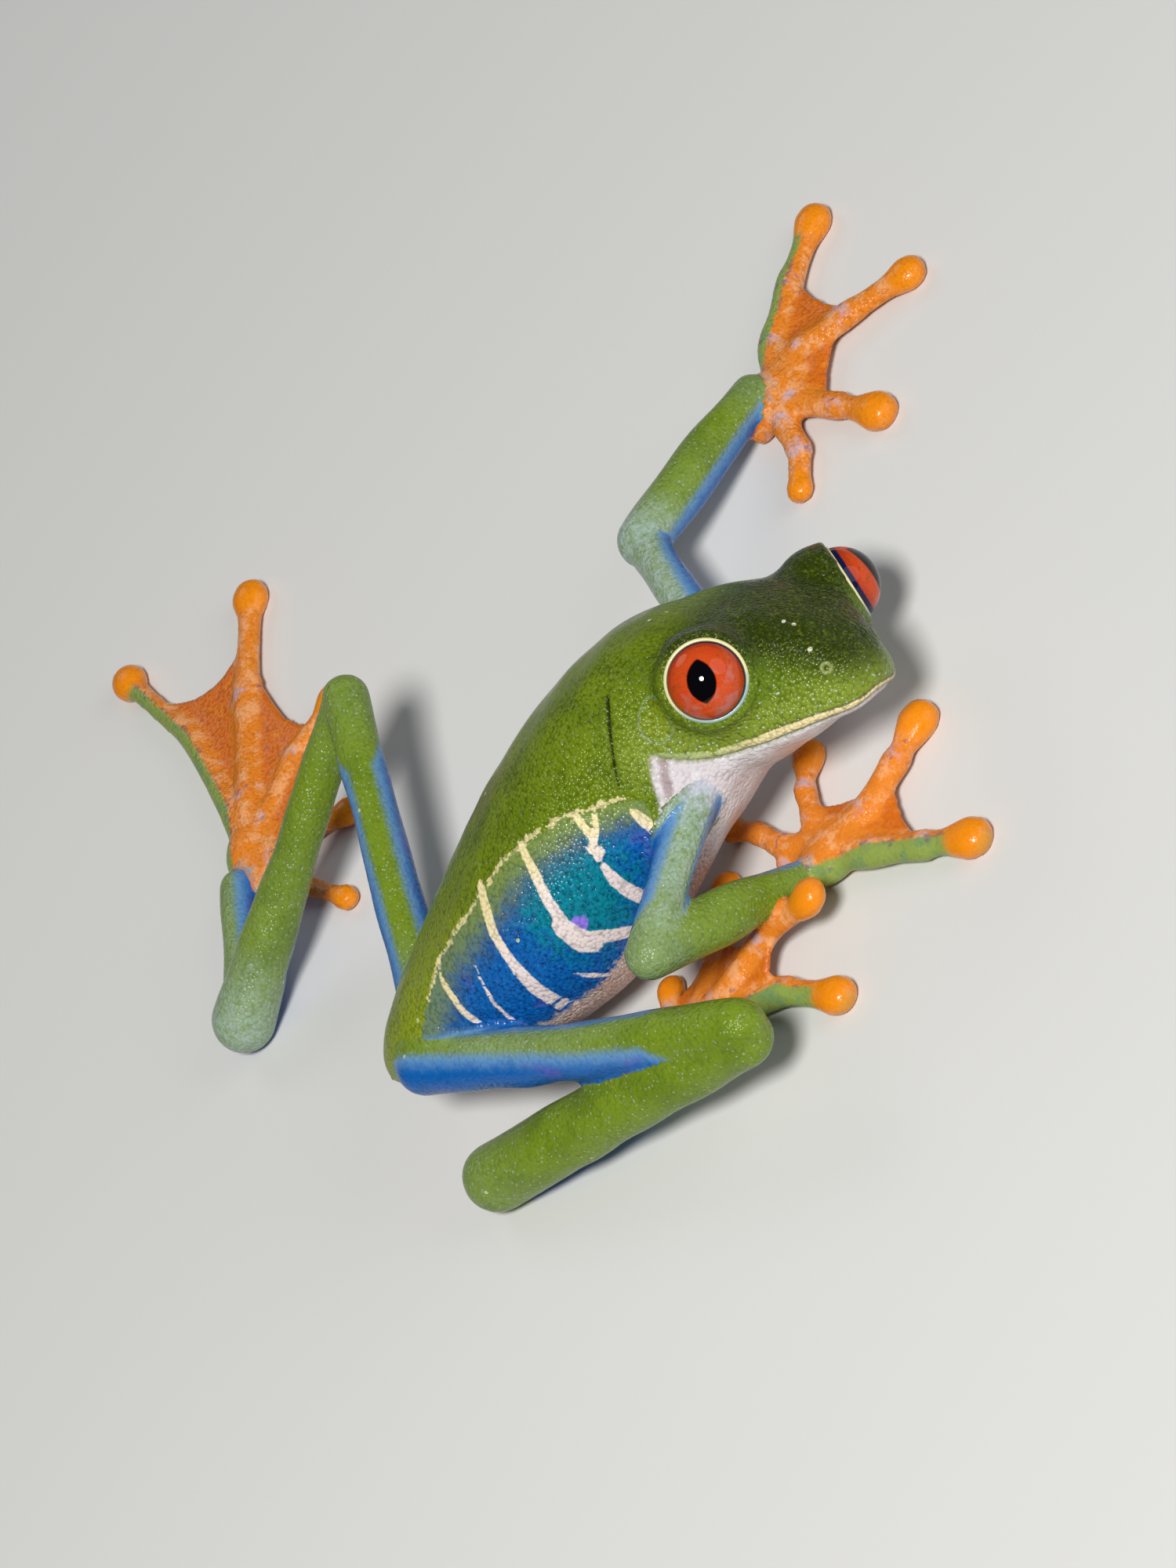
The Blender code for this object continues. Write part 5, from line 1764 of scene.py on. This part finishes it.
        # painted shade between the belly's granules
        crevice_shade = (shader.cells(place, 0.40, "DISTANCE_TO_EDGE") + fine * 0.1).fall(0.02, 0.16)
        belly = shader.colour(self.belly).blend(self.belly_light, shader.noise(place, 0.9).rise(0.4, 0.7) * 0.7)
        belly = belly.blend(self.belly_lines, crevice_shade * 0.55)
        cloud = shader.noise(place, 1.6).rise(0.42, 0.64)
        throat = shader.colour(self.throat).blend(self.throat_light, cloud * 0.8)
        throat = throat.blend(self.throat_brown, shader.noise(place, 2.6).rise(0.54, 0.72) * 0.35)
        # painted shade: the throat's fold painted brown
        throat = throat.blend(self.fold, (shader.mark("fold") + ragged * 0.5).fall(0.1, 0.6) * 0.65)
        return belly.blend(throat, shader.mark("chest"))

    def paw(self, shader: Shader, place: Value, ragged: Value, fine: Value) -> Value:
        """Orange hands and feet with brighter pads, redder webs, grey-violet streaks and a green outer edge.

        Args:
            shader: The skin's material.
            place: Object coordinates in millimetres.
            ragged: Noise that frays edges, about -0.5 to 0.5.
            fine: The same, with smaller lumps.
        Returns:
            The colour.
        """
        joint, web, disc, outer = (shader.mark(name) for name in ("joint", "web", "disc", "outer"))
        patch = shader.noise(place, 1.3, 3.0)
        paw = shader.colour(self.orange).blend(self.orange_light, (patch + fine * 0.4).rise(0.45, 0.66) * 0.75)
        paw = paw.blend(self.web, (web * patch.rise(0.2, 0.5)) * 0.8)
        streak = (joint * 0.6 + patch * 0.5 + ragged * 0.5 + web * 0.08).rise(0.58, 0.84)
        paw = paw.blend(self.joint, streak * 0.80)
        paw = paw.blend(self.wrist, (shader.mark("wrist") * 0.9 + ragged * 0.8).rise(0.4, 0.8) * 0.8)
        paw = paw.blend(self.pad, disc)
        green = shader.colour(self.outer_edge).blend(self.outer_deep, patch.rise(0.50, 0.66) * 0.4)
        paw = paw.blend(green, (outer + ragged * 0.7 + fine * 0.4).rise(0.25, 0.75) * (1.0 - disc))
        vein = shader.noise(place, 0.8, 3.0)
        band = (1.0 - (outer - 0.4).math("ABSOLUTE") * 2.2).rise(0.2, 0.8)
        dark = (band * vein.rise(0.46, 0.60)).math("MAXIMUM", (vein + joint * 0.1).rise(0.66, 0.78))
        return paw.blend(self.vein, dark * (1.0 - disc) * 0.6)

    def striped(self, shader: Shader, body: Value, place: Value, ragged: Value, fine: Value) -> Value:
        """Lays the cream bars, the dotted border, the mouth line and the lip's stripe over the body; the mouth line
        is painted shade in the slit under the stripe.

        Args:
            shader: The skin's material.
            body: The colour so far.
            place: Object coordinates in millimetres.
            ragged: Noise that frays edges, about -0.5 to 0.5.
            fine: The same, with smaller lumps.
        Returns:
            The colour with the stripes.
        """
        blue, cream, lip, border, lips = (shader.mark(name) for name in ("blue", "cream", "lip", "border", "lips"))
        bar_shade = shader.colour(self.cream).blend(self.cream_low, (blue + ragged).rise(1.0, 5.0))
        body = body.blend(bar_shade, (cream + ragged * 0.20 + fine * 0.16).fall(-0.06, 0.08))
        dots = (shader.noise(place, 0.5) - 0.5) * 0.9
        body = body.blend(self.cream, (border + dots + fine * 0.3).fall(-0.02, 0.12) * 0.75)
        # painted shade: the slit under the lip stripe painted dark, fainter towards the corner
        mouth = (lip - 0.05).fall(0.02, 0.12) * (0.6 - lips.rise(0.4, 0.7) * 0.5)
        stripe = shader.colour(self.cream).blend(self.lip_end, (lips + ragged * 0.2).rise(0.45, 0.95))
        return body.blend(self.mouth, mouth).blend(stripe, (lip + fine * 0.16).fall(-0.05, 0.05))

    def dotted(self, shader: Shader, body: Value, head: Head, place: Value, fine: Value) -> Value:
        """Puts pale dots on the body as painted highlights, at given places on the head where water droplets shine
        and sparsely off the head, and the nostrils with painted shade in them.

        Args:
            shader: The skin's material.
            body: The colour so far.
            head: The head, for the places on it.
            place: Object coordinates in millimetres.
            fine: Small-lumped noise.
        Returns:
            The colour with the dots.
        """
        # painted highlights: pale dots where water droplets on the head shine
        for speck in self.specks:
            far = shader.away(place, head.place(np.array(speck))) + fine * 0.2
            body = body.blend(self.speck, far.fall(0.13, 0.20))
        for side in Side:
            far = shader.away(place, head.place(np.array(head.nostril) * (1.0, side.value, 1.0)))
            body = body.blend(self.nostril_rim, (far - 0.34).math("ABSOLUTE").fall(0.04, 0.20) * 0.55)
            # painted shade: the nostril opening painted near black
            body = body.blend(self.nostril, far.fall(0.08, 0.18) * 0.8)
        # painted highlights: sparse pale dots off the head
        dust = (shader.cells(place, 3.1) + fine * 0.05).fall(0.045, 0.06)
        return body.blend(self.dust, dust * (1.0 - shader.mark("ahead")) * 0.8)

    def make(self, head: Head) -> bpy.types.Material:
        """Builds the skin's material from the mesh's markings.

        Args:
            head: The head, for the nostrils and the painted highlight dots.
        Returns:
            The material.
        """
        shader = Shader("skin")
        place = shader.place()
        ragged = shader.noise(place, 0.75, 3.0) - 0.5
        fine = shader.noise(place, 0.24) - 0.5
        blue, pale, ahead, limb = (shader.mark(name) for name in ("blue", "pale", "ahead", "limb"))
        orange, disc = shader.mark("orange"), shader.mark("disc")
        soft = limb * 0.30
        rough = (ragged * 0.7 + fine * 0.4) * (1.0 - limb * 0.6)
        low = (pale + ragged * 1.6 * (1.0 - ahead * 0.8) + fine * 0.5).rise(-0.25, 0.35)
        body = self.green(shader, place, ragged, fine)
        body = body.blend(self.flank(shader, place, ragged, fine), (blue + rough).rise(-0.14 - soft, 0.16 + soft))
        body = body.blend(self.under(shader, place, ragged, fine), low)
        body = self.striped(shader, body, place, ragged, fine)
        body = self.dotted(shader, body, head, place, fine)
        on_paw = (orange + ragged * 0.5 + fine * 0.3).rise(0.35, 0.65)
        body = body.blend(self.paw(shader, place, ragged, fine), on_paw)
        grain = shader.cells(place, self.granule)
        lumps = shader.cells(place, self.coarse)
        smooth = (orange * 0.6 + disc * 0.4).rise(0.1, 0.9)
        calm = (1.0 - limb * 0.55) * (1.0 - pale.rise(-0.3, 0.3) * 0.6)
        side = blue.rise(-0.3, 0.4) * pale.fall(-0.5, 0.3)
        # painted shade: base colour darkened between the granules, less on limbs, paws and the pale underside
        body = body.scale(1.0 - grain.rise(0.45, 0.85) * (1.0 - smooth * 0.6) * calm * 0.30)
        coarse = (1.0 - lumps * lumps) * (1.0 - smooth) * (1.0 - side * 0.85) * (1.0 - limb * 0.3)
        granules = (1.0 - grain * grain) * (1.0 - smooth * 0.6) * (1.0 - side * 0.4) * (0.35 + calm * 0.65)
        skin = shader.bump(shader.noise(place, self.film), self.film_depth)
        skin = shader.bump(coarse, self.coarse_depth, skin)
        skin = shader.bump(granules, self.granule_depth, skin)
        shader.set(Base_Color=body, Normal=skin, Roughness=0.19 + fine * 0.1 + smooth * 0.08, Specular_IOR_Level=0.20,
                   Coat_Weight=disc * 0.5, Coat_Roughness=0.13, Coat_IOR=1.36, Subsurface_Weight=0.10,
                   Subsurface_Scale=0.0006, Subsurface_Radius=(1.0, 0.45, 0.25))
        return shader.material


@dataclass(frozen=True)
class EyeFinish:
    """Glossy red eye with an upright pupil; sizes are shares of the ball."""

    red: tuple = (0.600, 0.058, 0.010)
    orange: tuple = (0.660, 0.100, 0.014)
    dark: tuple = (0.330, 0.020, 0.006)
    navy: tuple = (0.006, 0.008, 0.050)
    haze: tuple = (0.430, 0.190, 0.170)
    pupil_rim: tuple = (0.160, 0.008, 0.004)
    black: tuple = (0.001, 0.001, 0.002)
    pupil_wide: float = 0.345
    pupil_high: float = 0.535
    iris_edge: float = 0.925

    def make(self) -> bpy.types.Material:
        """Pupil, a lens where two circles meet, on an iris of soft mottles and fine rays inside a navy rim.

        Returns:
            The material.
        """
        shader = Shader("eye")
        kept = shader.kept("iris")
        x, y, out = kept.parts()
        away = (x * x + y * y).math("POWER", 0.5)
        across, level, _ = shader.kept("pupil").parts()
        bow = (self.pupil_high**2 - self.pupil_wide**2) / (2.0 * self.pupil_wide)
        reach = bow + self.pupil_wide
        left = ((across + bow) * (across + bow) + level * level).math("POWER", 0.5)
        right = ((across - bow) * (across - bow) + level * level).math("POWER", 0.5)
        pupil = left.math("MAXIMUM", right) - reach
        kind = {"noise_dimensions": "3D"}
        rays = node(shader.tree, "ShaderNodeTexNoise", kind, Vector=kept, Scale=5.0, Detail=5.0, Distortion=0.8)
        fleck = node(shader.tree, "ShaderNodeTexNoise", kind, Vector=kept, Scale=24.0, Detail=3.0)
        iris = shader.colour(self.red).blend(self.orange, (rays * 0.6 + fleck * 0.4).rise(0.44, 0.60))
        iris = iris.blend(self.dark, (rays * 0.5 + fleck * 0.5).rise(0.50, 0.62) * 0.6)
        cloud = node(shader.tree, "ShaderNodeTexNoise", kind, Vector=kept, Scale=3.2, Detail=4.0)
        iris = iris.blend(self.haze, (cloud + x * 0.10 - y * 0.14 + fleck * 0.1).rise(0.60, 0.76) * 0.55)
        iris = iris.blend(self.dark, (away + fleck * 0.05).rise(0.84, self.iris_edge) * 0.5)
        iris = iris.blend(self.pupil_rim, (pupil + fleck * 0.03).fall(0.015, 0.05))
        iris = iris.blend(self.black, pupil.fall(-0.006, 0.006))
        rim = (away + (fleck - 0.5) * 0.02).rise(self.iris_edge - 0.01, self.iris_edge + 0.01)
        ball = iris.blend(self.navy, rim.math("MAXIMUM", out.fall(0.0, 0.05)))
        shader.set(Base_Color=ball, Roughness=0.4, Coat_Weight=1.0, Coat_Roughness=0.01, Coat_IOR=1.36,
                   Specular_IOR_Level=0.0)
        return shader.material


@dataclass(frozen=True)
class LidFinish:
    """Moist lid edge, cream on top and bluish white below, the lower colour lightened with painted highlight."""

    cream: tuple = (0.800, 0.720, 0.360)
    # the lid's lower colour, made bluish white with painted highlight
    low: tuple = (0.300, 0.440, 0.420)

    def make(self) -> bpy.types.Material:
        """Builds the lid edge's material.

        Returns:
            The material.
        """
        shader = Shader("lid_edge")
        across, level, _ = shader.kept("iris").parts()
        noise = shader.noise(shader.place(), 0.6) - 0.5
        # the lower side painted bluish white, partly painted highlight
        low = (across * 0.25 - level + noise * 0.6).rise(0.0, 0.8)
        body = shader.colour(self.cream).blend(self.low, low)
        shader.set(Base_Color=body, Roughness=0.4, Coat_Weight=0.4, Coat_Roughness=0.12, Subsurface_Weight=0.1,
                   Subsurface_Scale=0.0005)
        return shader.material


@dataclass(frozen=True)
class FloorFinish:
    """Plain pale studio floor."""

    shade: tuple = (0.74, 0.74, 0.73)

    def make(self) -> bpy.types.Material:
        """Builds the floor's material.

        Returns:
            The material.
        """
        shader = Shader("floor")
        shader.set(Base_Color=self.shade, Roughness=0.7)
        return shader.material


@dataclass(frozen=True)
class Lamp:
    """A soft round light: place and size in millimetres, power in watts, linear colour."""

    name: str
    place: tuple
    size: float
    power: float
    shade: tuple = (1.0, 1.0, 1.0)


@dataclass(frozen=True)
class Studio:
    """Pale floor, soft lights and the photo's camera."""

    eye: tuple = (-364.6186, -74.134, 320.8397)
    across: tuple = (-0.4017, -0.6670, -0.6275)
    upward: tuple = (0.5245, -0.7293, 0.4394)
    back: tuple = (-0.7507, -0.1526, 0.6428)
    lens: float = 153.0
    sensor: float = 36.0
    clip: tuple = (0.01, 10.0)
    floor: float = 3000.0
    sky_shade: tuple = (0.93, 0.96, 1.0)
    sky_power: float = 0.07
    aim: tuple = (0.0, 0.0, 8.0)
    lamps: tuple = (
        Lamp("key", (-394.0, -11.0, 538.0), 140.0, 4.0, (1.0, 0.99, 0.96)),
        Lamp("fill", (-200.0, -440.0, 210.0), 420.0, 0.6, (0.95, 0.98, 1.0)),
        Lamp("rear", (480.0, 60.0, 380.0), 300.0, 0.3),
    )

    def build(self) -> None:
        """Adds floor, lights, world and camera."""
        half = self.floor / 2.0
        corners = np.array(((-half, -half, 0.0), (half, -half, 0.0), (half, half, 0.0), (-half, half, 0.0)))
        mesh = bpy.data.meshes.new("floor")
        mesh.from_pydata(((corners + SHIFT) * MM).tolist(), [], [(0, 1, 2, 3)])
        mesh.materials.append(FloorFinish().make())
        floor = bpy.data.objects.new("floor", mesh)
        bpy.context.scene.collection.objects.link(floor)
        for lamp in self.lamps:
            self.light(lamp)
        self.sky()
        self.camera()

    def light(self, lamp: Lamp) -> None:
        """Adds one area light that looks at the frog.

        Args:
            lamp: The light's place, size, power and colour.
        """
        data = bpy.data.lights.new(lamp.name, "AREA")
        data.shape = "DISK"
        data.size = lamp.size * MM
        data.energy = lamp.power
        data.color = lamp.shade
        item = bpy.data.objects.new(lamp.name, data)
        turn = frame_about(np.array(lamp.place) - np.array(self.aim), UP)
        item.matrix_world = self.placed(turn, lamp.place)
        bpy.context.scene.collection.objects.link(item)

    def placed(self, turn: Array, place: tuple) -> Matrix:
        """A matrix from the rows of a frame and a place in millimetres.

        Args:
            turn: Rows of the frame.
            place: Its place in millimetres.
        Returns:
            The matrix.
        """
        made = Matrix.Identity(4)
        for k in range(3):
            made.col[k][:3] = turn[k].tolist()
        made.translation = ((np.array(place) + SHIFT) * MM).tolist()
        return made

    def sky(self) -> None:
        """Even pale light from all round."""
        world = bpy.data.worlds.new("sky")
        world.use_nodes = True
        ground = world.node_tree.nodes["Background"]
        ground.inputs["Color"].default_value = (*self.sky_shade, 1.0)
        ground.inputs["Strength"].default_value = self.sky_power
        bpy.context.scene.world = world

    def camera(self) -> None:
        """The photo's view."""
        data = bpy.data.cameras.new("camera")
        data.lens = self.lens
        data.sensor_fit = "VERTICAL"
        data.sensor_height = self.sensor
        data.clip_start, data.clip_end = self.clip
        item = bpy.data.objects.new("camera", data)
        item.matrix_world = self.placed(np.array((self.across, self.upward, self.back)), self.eye)
        bpy.context.scene.collection.objects.link(item)
        bpy.context.scene.camera = item
        bpy.context.scene.view_settings.view_transform = "Standard"


def main() -> None:
    """Builds the frog and its studio and notes the size before and after."""
    logging.basicConfig(level=logging.INFO, format="%(name)s: %(message)s")
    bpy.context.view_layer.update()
    head = Head()
    trunk = Trunk()
    eyes = [
        Eye(Side.RIGHT, head, gaze=(-0.06, 0.05), lean=-2.5),
        Eye(Side.LEFT, head, gaze=(-0.12, 0.0), pupil=(1.33, 1.46)),
    ]
    skin = Skin(trunk, head, eyes, limb_pieces(), paws()).build()
    skin.data.materials.append(SkinFinish().make(head))
    LOG.info("%s: %d faces", skin.name, len(skin.data.polygons))
    glossy = EyeFinish().make()
    moist = LidFinish().make()
    for eye in eyes:
        ball = eye.build_ball()
        ball.data.materials.append(glossy)
        lid = eye.build_lid()
        lid.data.materials.append(moist)
        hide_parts(f"eye_{eye.side.word}")
        LOG.info("%s and %s", ball.name, lid.name)
    studio = Studio()
    studio.build()
    LOG.info("studio: floor, %d lights, camera", len(studio.lamps))


if __name__ == "__main__":
    main()
